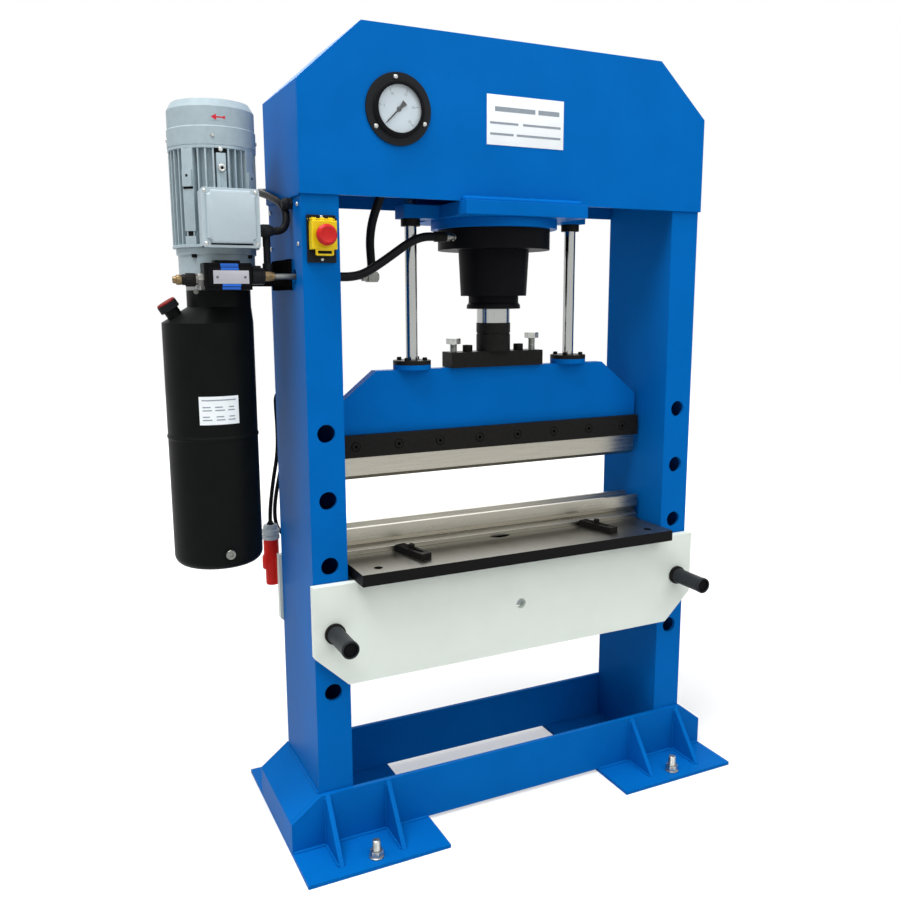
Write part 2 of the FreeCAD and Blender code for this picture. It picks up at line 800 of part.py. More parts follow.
def v_die():
    """A block with a V-groove in each long side: the one on top is in use, the others are spare."""
    back_y = die_front_y + die_width
    side_z = table_top + die_groove_z
    points = [
        (die_front_y, table_top), (die_front_y, side_z - die_front_groove),
        (die_front_y + die_front_groove_depth, side_z), (die_front_y, side_z + die_front_groove),
        (die_front_y, die_top), (tool_plane_y - die_groove, die_top), (tool_plane_y, die_top - die_groove),
        (tool_plane_y + die_groove, die_top), (back_y, die_top), (back_y, side_z + die_back_groove),
        (back_y - die_back_groove, side_z), (back_y, side_z - die_back_groove), (back_y, table_top),
        (tool_plane_y + die_bottom_groove, table_top), (tool_plane_y, table_top + die_bottom_groove),
        (tool_plane_y - die_bottom_groove, table_top),
    ]
    return flat(points, "yz", -die_half_length, die_half_length)


def slot_cutter(x, y0, y1, z0, z1, width):
    piece = box(x - width / 2, x + width / 2, y0 + width / 2, y1 - width / 2, z0, z1)
    return piece.fuse([rod((x, y, z0), (x, y, z1), width / 2) for y in (y0 + width / 2, y1 - width / 2)])


def die_clamp(x):
    """A slotted bar, turned about its bolt until one rear corner stands against the die."""
    back_y = clamp_bolt_y + clamp_bolt_setback
    front_y = back_y - clamp_length
    slot_back = clamp_bolt_y + clamp_slot_margin + clamp_slot_width / 2
    piece = box(x - clamp_width / 2, x + clamp_width / 2, front_y, back_y, clamp_bottom, clamp_top)
    piece = piece.cut(slot_cutter(x, front_y + clamp_slot_margin, slot_back, clamp_bottom - cut_past,
                                  clamp_top + cut_past, clamp_slot_width))
    piece.rotate(Vector(x, clamp_bolt_y, 0), Vector(0, 0, 1), clamp_skew)
    return piece


def clamp_bolt(x):
    head_z = clamp_top + running_gap
    middle_z = head_z + clamp_bolt_head_height / 2
    piece = rod((x, clamp_bolt_y, bed_top), (x, clamp_bolt_y, head_z), clamp_bolt_radius)
    piece = piece.fuse(rod((x, clamp_bolt_y, head_z), (x, clamp_bolt_y, head_z + clamp_bolt_head_height),
                           clamp_bolt_head_radius))
    return piece.cut(hexagon((x, clamp_bolt_y, middle_z), (0, 0, 1), clamp_bolt_key, clamp_bolt_head_height))


def make_table():
    save("table_plate", table_plate())
    save("v_die", v_die())
    save("die_clamp_left", die_clamp(clamp_left_x))
    save("die_clamp_right", die_clamp(clamp_right_x))
    save("clamp_bolts", clamp_bolt(clamp_left_x), clamp_bolt(clamp_right_x))


# ---- Ram ----
def ram_plate():
    """The ram's plate, rebated for the blade, with a round pad under each guide rod."""
    points = mirrored([(-ram_half_length, ram_bottom), (-ram_half_length, ram_shoulder_z),
                       (-ram_flat_half_length, ram_top)])
    piece = flat(points, "xz", ram_front_y, ram_back_y)
    piece = piece.cut(box(-ram_half_length, ram_half_length, ram_front_y, ram_front_y + blade_thickness,
                          ram_bottom, blade_top))
    for x in (-guide_x, guide_x):
        piece = piece.fuse(rod((x, 0, ram_top), (x, 0, guide_pad_top), guide_pad_radius))
        piece = piece.cut(drill((x, 0, guide_seat_z), (x, 0, guide_pad_top), guide_rod_radius))
    for x in base_screw_xs:
        piece = piece.cut(drill((x, 0, ram_top - thread_depth), (x, 0, ram_top), hex_bolt_radius))
    for x in holder_screw_xs:
        piece = piece.cut(through((x, ram_front_y, holder_screw_z), (x, ram_back_y, holder_screw_z),
                                  holder_screw_radius))
    return piece


def holder_bar():
    """The bar that holds the blade in its rebate, with a counterbore for each of its screws."""
    recess_y = holder_front_y + holder_recess_depth
    piece = box(-ram_half_length, ram_half_length, holder_front_y, ram_front_y, ram_bottom,
                ram_bottom + holder_bar_height)
    for x in holder_screw_xs:
        piece = piece.cut(through((x, holder_front_y, holder_screw_z), (x, ram_front_y, holder_screw_z),
                                  holder_screw_radius + screw_clearance))
        piece = piece.cut(drill((x, recess_y, holder_screw_z), (x, holder_front_y, holder_screw_z),
                                holder_head_radius + 2 * screw_clearance))
    return piece


def socket_screw(tip, direction, head_radius, head_height, shank_radius, shank_length, key):
    """A socket-head screw; tip is the point under its head, and direction points out of the head."""
    base, out = Vector(*tip), Vector(*direction)
    head = Part.makeCylinder(head_radius, head_height, base, out)
    shank = Part.makeCylinder(shank_radius, shank_length, base, out * -1)
    return head.fuse(shank).cut(hexagon(base + out * (head_height / 2), direction, key, head_height))


def blade():
    nose = blade_bottom + blade_nose_height
    back_y = ram_front_y + blade_thickness
    points = [(ram_front_y, blade_top), (back_y, blade_top), (back_y, nose), (tool_plane_y, blade_bottom),
              (ram_front_y, nose)]
    return flat(points, "yz", -ram_half_length, ram_half_length)


def hex_bolt(x, head_z):
    shank = rod((x, 0, ram_top - thread_depth), (x, 0, head_z), hex_bolt_radius)
    return shank.fuse(hexagon((x, 0, head_z), (0, 0, 1), hex_bolt_flats, hex_head_height))


def base_block():
    half_depth = base_block_depth / 2
    piece = box(-base_block_half_length, base_block_half_length, -half_depth, half_depth, ram_top,
                base_block_top)
    for x in base_screw_xs:
        piece = piece.cut(through((x, 0, ram_top), (x, 0, base_block_top), hex_bolt_radius + screw_clearance))
    return piece


def rod_coupling():
    inner = coupling_radius - coupling_groove_depth
    groove_low = coupling_groove_height - coupling_groove_width / 2
    groove_high = coupling_groove_height + coupling_groove_width / 2
    return turned([(0, 0), (coupling_radius, 0), (coupling_radius, groove_low), (inner, groove_low),
                   (inner, groove_high), (coupling_radius, groove_high), (coupling_radius, coupling_height),
                   (0, coupling_height)], (0, 0, base_block_top))


def guide_flange(x):
    high = guide_pad_top + guide_flange_height
    piece = rod((x, 0, guide_pad_top), (x, 0, high), guide_pad_radius)
    return piece.cut(through((x, 0, guide_pad_top), (x, 0, high), guide_rod_radius))


def guide_rod(x):
    piece = rod((x, 0, guide_seat_z), (x, 0, guide_rod_top), guide_rod_radius)
    top = [edge for edge in piece.Edges if edge.Closed and edge.BoundBox.ZMin > guide_pad_top]
    return piece.makeChamfer(guide_rod_chamfer, top)


def make_ram():
    save("ram_plate", ram_plate())
    save("blade_holder_bar", holder_bar())
    save("bending_blade", blade())
    recess_y = holder_front_y + holder_recess_depth
    shank = holder_bar_thickness - holder_recess_depth + holder_screw_grip
    screws = [socket_screw((x, recess_y, holder_screw_z), (0, -1, 0), holder_head_radius,
                           holder_head_height, holder_screw_radius, shank, socket_key)
              for x in holder_screw_xs]
    screws += [socket_screw((x, 0, base_block_top), (0, 0, 1), socket_head_radius, socket_head_height,
                            hex_bolt_radius, base_block_height + thread_depth, socket_key)
               for x in (-socket_screw_x, socket_screw_x)]
    save("ram_screws", hex_bolt(-hex_bolt_x, base_block_top + hex_head_lift_left),
         hex_bolt(hex_bolt_x, base_block_top + hex_head_lift_right), *screws)
    save("ram_base_block", base_block().fuse(rod_coupling()).removeSplitter())
    save("guide_flanges", guide_flange(-guide_x), guide_flange(guide_x))
    save("guide_rods", guide_rod(-guide_x), guide_rod(guide_x))


# ---- Cylinder ----
def mount_plate():
    """The thick plate under the crown: a slab for the cylinder, with an ear each side for a guide bush."""
    slab = box(-mount_slab_half_length, mount_slab_half_length, -mount_slab_depth / 2, mount_slab_depth / 2,
               mount_plate_bottom, crown_bottom)
    ears = box(-guide_ear_half_length, guide_ear_half_length, -guide_ear_depth / 2, guide_ear_depth / 2,
               mount_plate_bottom, crown_bottom)
    piece = slab.fuse(ears).removeSplitter()
    for x, radius in ((-guide_x, bush_body_radius), (0, barrel_spigot_radius), (guide_x, bush_body_radius)):
        piece = piece.cut(through((x, 0, mount_plate_bottom), (x, 0, crown_bottom), radius))
    return piece


def guide_bush(x):
    low = mount_plate_bottom - bush_collar_height
    bore = guide_rod_radius + slide_clearance
    return turned([(bore, 0), (bush_collar_radius, 0), (bush_collar_radius, bush_collar_height),
                   (bush_body_radius, bush_collar_height), (bush_body_radius, crown_bottom - low),
                   (bore, crown_bottom - low)], (x, 0, low))


def barrel():
    """The cylinder's barrel: a neck for the gland, a tapered body and a spigot up into the crown."""
    return turned([
        (rod_bore_radius, neck_bottom), (barrel_neck_radius, neck_bottom),
        (barrel_neck_radius, barrel_bottom), (barrel_low_radius, barrel_bottom),
        (barrel_top_radius, collar_bottom),
        (barrel_top_radius, flange_bottom), (barrel_spigot_radius, flange_bottom),
        (barrel_spigot_radius, barrel_top), (0, barrel_top), (0, barrel_top - barrel_cap),
        (barrel_bore_radius, barrel_top - barrel_cap), (barrel_bore_radius, barrel_floor_z),
        (rod_bore_radius, barrel_floor_z),
    ], (0, 0, 0))


def barrel_collar():
    """The collar round the barrel, with the hole of the cylinder's oil port."""
    ring = turned([(barrel_top_radius, collar_bottom), (barrel_collar_radius, collar_bottom),
                   (barrel_collar_radius, flange_bottom), (barrel_top_radius, flange_bottom)], (0, 0, 0))
    return ring.cut(drill((cylinder_port_x, cylinder_port_y, cylinder_port_z),
                          (-barrel_collar_radius, cylinder_port_y, cylinder_port_z), crimp_radius))


def cylinder_flange():
    ring = rod((0, 0, flange_bottom), (0, 0, mount_plate_bottom), flange_radius)
    return ring.cut(through((0, 0, flange_bottom), (0, 0, mount_plate_bottom), barrel_spigot_radius))


def gland_ring():
    return turned([(rod_bore_radius, 0), (gland_ring_radius, 0), (gland_ring_radius, gland_ring_height / 2),
                   (barrel_neck_radius, gland_ring_height), (rod_bore_radius, gland_ring_height)],
                  (0, 0, gland_bottom))


def piston_rod():
    """The rod and its piston in one, with two seal grooves round the piston."""
    radius = barrel_bore_radius - slide_clearance
    top = piston_bottom + piston_height
    profile = [(0, rod_end_z), (rod_radius, rod_end_z), (rod_radius, piston_bottom), (radius, piston_bottom)]
    for middle in (piston_bottom + seal_groove_inset, top - seal_groove_inset):
        low, high = middle - seal_groove_width / 2, middle + seal_groove_width / 2
        groove = radius - seal_groove_depth
        profile += [(radius, low), (groove, low), (groove, high), (radius, high)]
    return turned(profile + [(radius, top), (0, top)], (0, 0, 0))


def make_cylinder():
    save("mount_plate", mount_plate())
    save("guide_bushes", guide_bush(-guide_x), guide_bush(guide_x))
    save("cylinder_flange", cylinder_flange())
    save("cylinder_barrel", barrel(), barrel_collar())
    save("gland_ring", gland_ring())
    save("piston_rod", piston_rod())


# ---- Pressure gauge ----
def gauge_case():
    """A round case behind the crown's front, with a flange, a rim and a dial in its mouth."""
    bore = gauge_case_radius - gauge_case_wall
    dial_back = gauge_flange_thickness - gauge_dial_thickness
    rim_top = gauge_flange_thickness + gauge_rim_height
    arbor = gauge_shaft_radius + slide_clearance
    floor = gauge_case_wall - gauge_case_length
    shell = turned([
        (arbor, -gauge_case_length), (gauge_case_radius, -gauge_case_length), (gauge_case_radius, 0),
        (gauge_flange_radius, 0), (gauge_flange_radius, gauge_flange_thickness),
        (gauge_case_radius + gauge_rim_taper, gauge_flange_thickness), (gauge_case_radius, rim_top),
        (bore, rim_top), (bore, floor), (arbor, floor),
    ], (gauge_x, crown_front_y, gauge_z), (0, -1, 0))
    dial = turned([(arbor, dial_back), (bore, dial_back), (bore, gauge_flange_thickness),
                   (arbor, gauge_flange_thickness)], (gauge_x, crown_front_y, gauge_z), (0, -1, 0))
    return shell.fuse(dial)


def gauge_lens():
    bore = gauge_case_radius - gauge_case_wall
    front_y = crown_front_y - gauge_flange_thickness - gauge_rim_height
    return rod((gauge_x, front_y, gauge_z), (gauge_x, front_y + gauge_lens_thickness, gauge_z), bore)


def gauge_needle():
    """The pointer with its flared tail, on its hub and shaft, turned to the start of the scale."""
    back_y = crown_front_y - gauge_flange_thickness - 2 * running_gap
    front_y = back_y - needle_thickness
    shaft_end = crown_front_y + gauge_case_length - gauge_case_wall / 2
    outline = [(-needle_half_width, 0), (0, needle_length), (needle_half_width, 0),
               (needle_tail_half_width, -needle_tail), (-needle_tail_half_width, -needle_tail)]
    pointer = flat(outline, "xz", front_y, back_y)
    turn = FreeCAD.Rotation(Vector(0, 1, 0), needle_rest_turn)
    pointer.Placement = FreeCAD.Placement(Vector(gauge_x, 0, gauge_z), turn)
    hub = rod((gauge_x, front_y, gauge_z), (gauge_x, back_y, gauge_z), needle_hub_radius)
    shaft = rod((gauge_x, front_y, gauge_z), (gauge_x, shaft_end, gauge_z), gauge_shaft_radius)
    return shaft.fuse([hub, pointer]).removeSplitter()


def make_gauge():
    save("gauge_case", gauge_case())
    save("gauge_lens", gauge_lens())
    save("gauge_needle", gauge_needle())


# ---- Motor switch ----
def switch_base():
    """The plate on the column, its body behind it, two hinge ears, and the buttons' holes."""
    half, tall = switch_body_width / 2, switch_body_height / 2
    plate = box(switch_left_x, switch_right_x, switch_front_y, column_front_y, switch_z - switch_height / 2,
                switch_z + switch_height / 2)
    body = box(switch_x - half, switch_x + half, column_front_y, column_front_y + switch_body_depth,
               switch_z - tall, switch_z + tall)
    ear_gap = flap_width / 2 + running_gap
    ears = [box(x0, x1, hinge_y - hinge_radius, switch_front_y, hinge_z - hinge_radius,
                hinge_z + hinge_radius)
            for x0, x1 in ((switch_left_x, switch_x - ear_gap), (switch_x + ear_gap, switch_right_x))]
    piece = plate.fuse([body] + ears)
    piece = piece.cut(through((switch_left_x, hinge_y, hinge_z), (switch_right_x, hinge_y, hinge_z),
                              hinge_rod_radius + slide_clearance))
    for z, radius in ((mushroom_z, stop_button_radius), (start_button_z, start_button_radius)):
        piece = piece.cut(drill((switch_x, column_front_y + button_length, z), (switch_x, switch_front_y, z),
                                radius + slide_clearance))
    return piece.removeSplitter()


def switch_flap():
    """A hollow cover with three hinge lugs on a rod, and a hole for the mushroom head's stem."""
    half = flap_width / 2
    cover = box(switch_x - half, switch_x + half, flap_front_y, flap_back_y, flap_bottom_z, flap_top_z)
    front_edges = [edge for edge in cover.Edges if edge.BoundBox.YMax < (flap_front_y + flap_back_y) / 2]
    cover = cover.makeFillet(flap_wall, front_edges)
    cover = cover.cut(box(switch_x - half + flap_wall, switch_x + half - flap_wall, flap_front_y + flap_wall,
                          flap_back_y, flap_bottom_z + flap_wall, flap_top_z - flap_wall))
    lug_width = flap_width / 6
    pieces = [rod((switch_left_x, hinge_y, hinge_z), (switch_right_x, hinge_y, hinge_z), hinge_rod_radius)]
    for step in (-2, 0, 2):
        x0, x1 = switch_x + (step - 0.5) * lug_width, switch_x + (step + 0.5) * lug_width
        pieces.append(box(x0, x1, hinge_y - hinge_radius, flap_back_y, flap_top_z - flap_wall, hinge_z))
        pieces.append(rod((x0, hinge_y, hinge_z), (x1, hinge_y, hinge_z), hinge_radius))
    piece = cover.fuse(pieces)
    stem_hole = through((switch_x, flap_front_y, mushroom_z),
                        (switch_x, flap_front_y + flap_wall, mushroom_z),
                        mushroom_stem_radius + slide_clearance)
    return piece.cut(stem_hole).removeSplitter()


def stop_mushroom():
    """The red head in front of the flap, on a stem that ends just in front of the stop button."""
    stem_end = switch_front_y - button_length - mushroom_travel - 2 * running_gap
    head_back = stem_end - flap_front_y + mushroom_travel + 2 * running_gap
    head_front = head_back + mushroom_height
    return turned([
        (0, 0), (mushroom_stem_radius, 0), (mushroom_stem_radius, head_back),
        (mushroom_back_radius, head_back),
        (mushroom_radius, head_back + mushroom_undercut), (mushroom_radius, head_front - mushroom_rounding),
        (mushroom_shoulder_radius, head_front - mushroom_crown), (mushroom_face_radius, head_front),
        (0, head_front),
    ], (switch_x, stem_end, mushroom_z), (0, -1, 0))


def button(z, radius):
    front_y = switch_front_y - button_length
    return rod((switch_x, front_y, z), (switch_x, column_front_y - button_seat, z), radius)


def make_switch():
    save("switch_base", switch_base())
    save("switch_flap", switch_flap())
    save("stop_mushroom", stop_mushroom())
    save("stop_button", button(mushroom_z, stop_button_radius))
    save("start_button", button(start_button_z, start_button_radius))


# ---- Motor ----
def motor_frame():
    """A round motor housing with cooling fins all round, except where the terminal box stands."""
    half = motor_fin_thickness / 2
    pad = box_size / 2 - box_pad_inset
    core = rod((unit_x, unit_y, motor_bottom), (unit_x, unit_y, motor_top), motor_core_radius)
    fin = box(motor_core_radius - fin_root, motor_fin_radius, -half, half, motor_bottom, motor_top)
    fins = around(fin, motor_fin_count, unit_x, unit_y)
    fins = [fin for fin in fins if fin.BoundBox.Center.y > unit_y - motor_fin_radius * box_side_share]
    box_pad = box(box_centre_x - pad, box_centre_x + pad, unit_y - motor_fin_radius,
                  unit_y - motor_core_radius / 2, box_bottom_z + box_pad_inset,
                  box_bottom_z + box_size - box_pad_inset)
    rotor_chamber = rod((unit_x, unit_y, motor_bottom + motor_shield_thickness),
                        (unit_x, unit_y, motor_top - motor_shield_thickness), stator_bore_radius)
    shaft_bore = through((unit_x, unit_y, motor_bottom), (unit_x, unit_y, motor_top),
                         shaft_radius + slide_clearance)
    return core.fuse(fins + [box_pad]).cut([rotor_chamber, shaft_bore]).removeSplitter()


def fan_cowl():
    """A pressed sheet cowl over the fan, with a ring of air slots in its top."""
    lip_top = motor_top + cowl_lip_height
    inner_radius = cowl_radius - cowl_wall
    shell = turned([
        (cowl_lip_radius, motor_top), (cowl_lip_radius, lip_top), (cowl_radius, lip_top + cowl_wall),
        (cowl_radius, cowl_shoulder_z), (cowl_top_radius, cowl_top), (0, cowl_top),
        (0, cowl_top - cowl_wall), (cowl_top_radius - cowl_wall / 2, cowl_top - cowl_wall),
        (inner_radius, cowl_shoulder_z - cowl_wall / 2), (inner_radius, motor_top),
    ], (unit_x, unit_y, 0))
    slot = box(cowl_slot_inner_radius, cowl_slot_outer_radius, -cowl_slot_width / 2, cowl_slot_width / 2,
               cowl_top - cowl_wall - cut_past, cowl_top + cut_past)
    return shell.cut(around(slot, cowl_slot_count, unit_x, unit_y))


def motor_rotor():
    """The rotor, its shaft, and the fan on the shaft's upper end."""
    fan_top = fan_bottom + fan_height
    half = fan_blade_thickness / 2
    disc_top = fan_bottom + fan_blade_thickness
    shaft = rod((unit_x, unit_y, housing_bottom + shaft_end_gap), (unit_x, unit_y, fan_top), shaft_radius)
    core = rod((unit_x, unit_y, rotor_bottom), (unit_x, unit_y, rotor_top), stator_bore_radius - running_gap)
    hub = rod((unit_x, unit_y, fan_bottom), (unit_x, unit_y, fan_top), fan_hub_radius)
    disc = rod((unit_x, unit_y, fan_bottom), (unit_x, unit_y, disc_top), fan_disc_radius)
    vane = box(shaft_radius, fan_radius, -half, half, fan_bottom, fan_top)
    return shaft.fuse([core, hub, disc] + around(vane, fan_blade_count, unit_x, unit_y)).removeSplitter()


def bell_housing():
    flange_low = motor_bottom - housing_flange_height
    bore = shaft_radius + slide_clearance
    return turned([(housing_bore_radius, housing_bottom), (housing_radius, housing_bottom),
                   (housing_radius, flange_low), (housing_flange_radius, flange_low),
                   (housing_flange_radius, motor_bottom), (bore, motor_bottom),
                   (bore, flange_low), (housing_bore_radius, flange_low)], (unit_x, unit_y, 0))


def terminal_box():
    """An open-fronted box on the motor's pad, and the lid that closes it."""
    x0, x1 = box_centre_x - box_size / 2, box_centre_x + box_size / 2
    z0, z1 = box_bottom_z, box_bottom_z + box_size
    lid_back = box_front_y + box_lid_thickness
    pad_y = unit_y - motor_fin_radius
    near, deep = box_wall, 2 * box_wall
    body = box(x0 + near, x1 - near, lid_back, pad_y, z0 + near, z1 - near)
    body = body.cut(box(x0 + deep, x1 - deep, lid_back, pad_y - near, z0 + deep, z1 - deep))
    lid = box(x0, x1, box_front_y, lid_back, z0, z1)
    corners = [edge for edge in lid.Edges if edge.BoundBox.YLength > box_lid_thickness / 2]
    return body, lid.makeFillet(box_lid_rounding, corners)


def make_motor():
    save("motor_frame", motor_frame())
    save("fan_cowl", fan_cowl())
    save("motor_rotor", motor_rotor())
    save("bell_housing", bell_housing())
    save("terminal_box", *terminal_box())


# ---- Hydraulics of the power unit ----
def manifold():
    """The block under the motor, with a round foot for the tank and a nose that carries the valve."""
    half = manifold_side / 2
    block = box(unit_x - half, unit_x + half, unit_y - half, unit_y + half, manifold_bottom, housing_bottom)
    foot = rod((unit_x, unit_y, manifold_bottom), (unit_x, unit_y, manifold_bottom + manifold_flange_height),
               manifold_flange_radius)
    nose = box(valve_left_x, valve_right_x, valve_back_y, unit_y - half, manifold_bottom, housing_bottom)
    return block.fuse([foot, nose]).removeSplitter()


def tank_form(radius, neck_radius, bottom, corner):
    """A round tank whose shoulder leans over to a neck under the motor, which stands off its centre."""
    body = rod((tank_x, unit_y, bottom), (tank_x, unit_y, tank_shoulder_z), radius)
    rim = [edge for edge in body.Edges if edge.Closed and edge.BoundBox.ZMax < tank_bead_z]
    body = body.makeFillet(corner, rim)
    low = Part.Wire(Part.makeCircle(radius, Vector(tank_x, unit_y, tank_shoulder_z)))
    high = Part.Wire(Part.makeCircle(neck_radius, Vector(unit_x, unit_y, tank_neck_z)))
    shoulder = Part.makeLoft([low, high], True, True)
    neck = rod((unit_x, unit_y, tank_neck_z), (unit_x, unit_y, manifold_bottom), neck_radius)
    return body.fuse([shoulder, neck])


def tank():
    outer = tank_form(tank_radius, tank_neck_radius, tank_bottom, tank_corner)
    root, crest = tank_radius - tank_wall / 2, tank_radius + tank_bead_depth
    bead = turned([(root, 0), (tank_radius, 0), (crest, tank_bead_height / 3),
                   (crest, 2 * tank_bead_height / 3), (tank_radius, tank_bead_height),
                   (root, tank_bead_height)],
                  (tank_x, unit_y, tank_bead_z - tank_bead_height / 2))
    filler = Part.makeCylinder(filler_radius, filler_length, filler_base, filler_axis)
    boss = rod((drain_x, drain_boss_y, drain_z), (drain_x, unit_y, drain_z), drain_boss_radius)
    inner = tank_form(tank_radius - tank_wall, tank_neck_radius - tank_wall, tank_bottom + tank_wall,
                      tank_corner - tank_wall)
    filler_bore = Part.makeCylinder(filler_radius - tank_wall, filler_length + cut_past, filler_base,
                                    filler_axis)
    return outer.fuse([bead, filler, boss]).cut([inner, filler_bore]).removeSplitter()


def filler_cap():
    """A cap that stands over the filler neck, and rests on its end."""
    top = filler_length + running_gap + filler_cap_roof
    skirt = filler_radius + running_gap
    return turned([
        (skirt, top - filler_cap_height), (filler_cap_radius, top - filler_cap_height),
        (filler_cap_radius, top - filler_cap_edge), (filler_cap_radius - filler_cap_edge, top), (0, top),
        (0, filler_length + running_gap), (skirt, filler_length + running_gap),
    ], filler_base, filler_axis)


def valve_body():
    return box(valve_left_x, valve_right_x, valve_front_y, valve_back_y, manifold_bottom,
               manifold_bottom + valve_height)


def solenoid():
    return rod((valve_right_x, port_axis_y, port_axis_z), (solenoid_end_x, port_axis_y, port_axis_z),
               solenoid_radius)


def relief_valve():
    """The relief cartridge: a hexagon against the valve and a round lock nut, bored for its screw."""
    nut_left = relief_hex_x - relief_nut_length
    hexagonal = hexagon((valve_left_x, port_axis_y, relief_z), (-1, 0, 0), relief_hex_flats,
                        relief_hex_length)
    nut = rod((relief_hex_x, port_axis_y, relief_z), (nut_left, port_axis_y, relief_z), relief_nut_radius)
    bore = drill((relief_hex_x, port_axis_y, relief_z), (nut_left, port_axis_y, relief_z),
                 relief_stem_radius + slide_clearance)
    return hexagonal.fuse(nut).cut(bore)


def relief_screw():
    """The adjusting screw of the relief cartridge: a round head on a stem that turns in the lock nut."""
    head_right = relief_hex_x - relief_nut_length - running_gap
    head = rod((head_right - relief_screw_length, port_axis_y, relief_z), (head_right, port_axis_y, relief_z),
               relief_screw_radius)
    stem = rod((head_right, port_axis_y, relief_z), (relief_hex_x - running_gap, port_axis_y, relief_z),
               relief_stem_radius)
    return head.fuse(stem)


def unit_bracket():
    """A plate on the column with an arm out to the block that the motor and tank hang from."""
    plate_x = -column_outer_x - bracket_plate_thickness
    arm_low = manifold_bottom + manifold_flange_height + running_gap
    plate = box(plate_x, -column_outer_x, bracket_front_y, bracket_back_y, manifold_bottom, bracket_top)
    arm = box(unit_x + manifold_side / 2, plate_x, unit_y - manifold_side / 2, bracket_back_y, arm_low,
              manifold_bottom + bracket_arm_height)
    return plate.fuse(arm).removeSplitter()


def oil_pump():
    pump_bottom = manifold_bottom - pump_height
    pump = rod((unit_x, unit_y, pump_bottom), (unit_x, unit_y, manifold_bottom), pump_radius)
    strainer = rod((unit_x, unit_y, pump_bottom - strainer_height), (unit_x, unit_y, pump_bottom),
                   strainer_radius)
    return pump.fuse(strainer)


def make_hydraulics():
    save("manifold", manifold())
    save("valve_body", valve_body())
    save("solenoid", solenoid())
    save("relief_valve", relief_valve())
    save("relief_screw", relief_screw())
    save("unit_bracket", unit_bracket())
    save("tank", tank())
    save("filler_cap", filler_cap())
    save("oil_pump", oil_pump())


# ---- Pipes, hoses and cords ----
def pressure_line():
    """The pipe from the valve through the column to the pressure hose, and the hose's far end."""
    nut_end_x = solenoid_end_x + pipe_nut_length
    hose_start, hose_end = pressure_hose_route[0], pressure_hose_route[-1]
    pipe_end = (hose_start[0] - crimp_length, port_axis_y, port_axis_z)
    stud_start = (hose_end[0] + crimp_length, cylinder_port_y, cylinder_port_z)
    nut = hexagon((solenoid_end_x, port_axis_y, port_axis_z), (1, 0, 0), pipe_nut_flats, pipe_nut_length)
    pipe = rod((nut_end_x, port_axis_y, port_axis_z), pipe_end, pipe_diameter / 2)
    crimp = rod(pipe_end, hose_start, crimp_radius)
    end_crimp = rod(hose_end, stud_start, crimp_radius)
    stud = rod(stud_start, (cylinder_port_x, cylinder_port_y, cylinder_port_z), port_stud_radius)
    return nut, pipe, crimp, end_crimp, stud


def straight_on(before, end, length):
    """The point that lies that far past the end of a route, in line with its last run."""
    return Vector(*end) + (Vector(*end) - Vector(*before)).normalize() * length


def gauge_line():
    """The elbow, pipe and crimp under the gauge hose, and the stub between the hose and the gauge."""
    elbow = box(gauge_pipe_x - crimp_radius, gauge_pipe_x + crimp_radius, gauge_pipe_y - crimp_radius,
                gauge_pipe_y + crimp_radius, gauge_pipe_z - crimp_radius, gauge_pipe_z + crimp_radius)
    pipe = rod((-column_centre_x, gauge_pipe_y, gauge_pipe_z),
               (gauge_pipe_x - crimp_radius, gauge_pipe_y, gauge_pipe_z), pipe_diameter / 2)
    hose_top, hose_bottom = gauge_hose_route[0], gauge_hose_route[-1]
    crimp = rod(hose_bottom, straight_on(gauge_hose_route[-2], hose_bottom, gauge_crimp_length),
                gauge_crimp_radius)
    stub = rod(hose_top, straight_on(gauge_hose_route[1], hose_top, gauge_stub_length), gauge_stub_radius)
    return elbow.fuse([pipe, crimp]), stub


def cable_glands():
    """The glands of the conduit at the terminal box and at the crown, and the supply cord's grommet."""
    conduit_start, conduit_end, cord_start = conduit_route[0], conduit_route[-1], cord_route[0]
    box_side_x = box_centre_x + box_size / 2 - box_wall
    box_gland = rod((box_side_x, conduit_start[1], conduit_start[2]), conduit_start, gland_radius)
    crown_gland = rod((conduit_end[0], crown_half_depth, conduit_end[2]), conduit_end, gland_radius)
    grommet = rod((cord_start[0], column_half_depth - column_wall, cord_start[2]), cord_start, grommet_radius)
    return box_gland, crown_gland, grommet


def supply_plug():
    """The plug hangs with its pins down: gland nut, body, grip band and the shroud round its pins."""
    collar_low = plug_top - plug_collar_height
    body_low = collar_low - plug_body_height
    band_low = body_low - plug_band_height
    nose_low = band_low - plug_nose_height
    collar = turned([(0, collar_low), (plug_collar_radius, collar_low),
                     (plug_collar_radius, plug_top - plug_collar_edge),
                     (plug_collar_radius - plug_collar_edge, plug_top), (0, plug_top)], (plug_x, plug_y, 0))
    body = turned([
        (0, collar_low), (plug_body_radius, collar_low), (plug_body_radius, body_low),
        (plug_band_radius, body_low - plug_band_taper), (plug_band_radius, band_low),
        (plug_nose_radius, band_low), (plug_nose_radius, nose_low + plug_nose_edge),
        (plug_nose_radius - plug_nose_edge, nose_low), (0, nose_low),
    ], (plug_x, plug_y, 0))
    return collar, body


def make_lines():
    save("hose_fittings", *pressure_line(), *gauge_line())
    save("cable_glands", *cable_glands())
    save("pressure_hose", tube(pressure_hose_route, hose_diameter, "pressure hose"))
    save("gauge_hose", tube(gauge_hose_route, hose_diameter, "gauge hose"))
    save("motor_conduit", tube(conduit_route, conduit_diameter, "motor conduit"))
    save("supply_cord", tube(cord_route, cord_diameter, "supply cord"))
    save("supply_plug", *supply_plug())


make_frame()
make_bed()
make_table()
make_ram()
make_cylinder()
make_gauge()
make_switch()
make_motor()
make_hydraulics()
make_lines()
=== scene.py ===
import bmesh
import bpy
import math
from mathutils import Matrix, Vector, noise


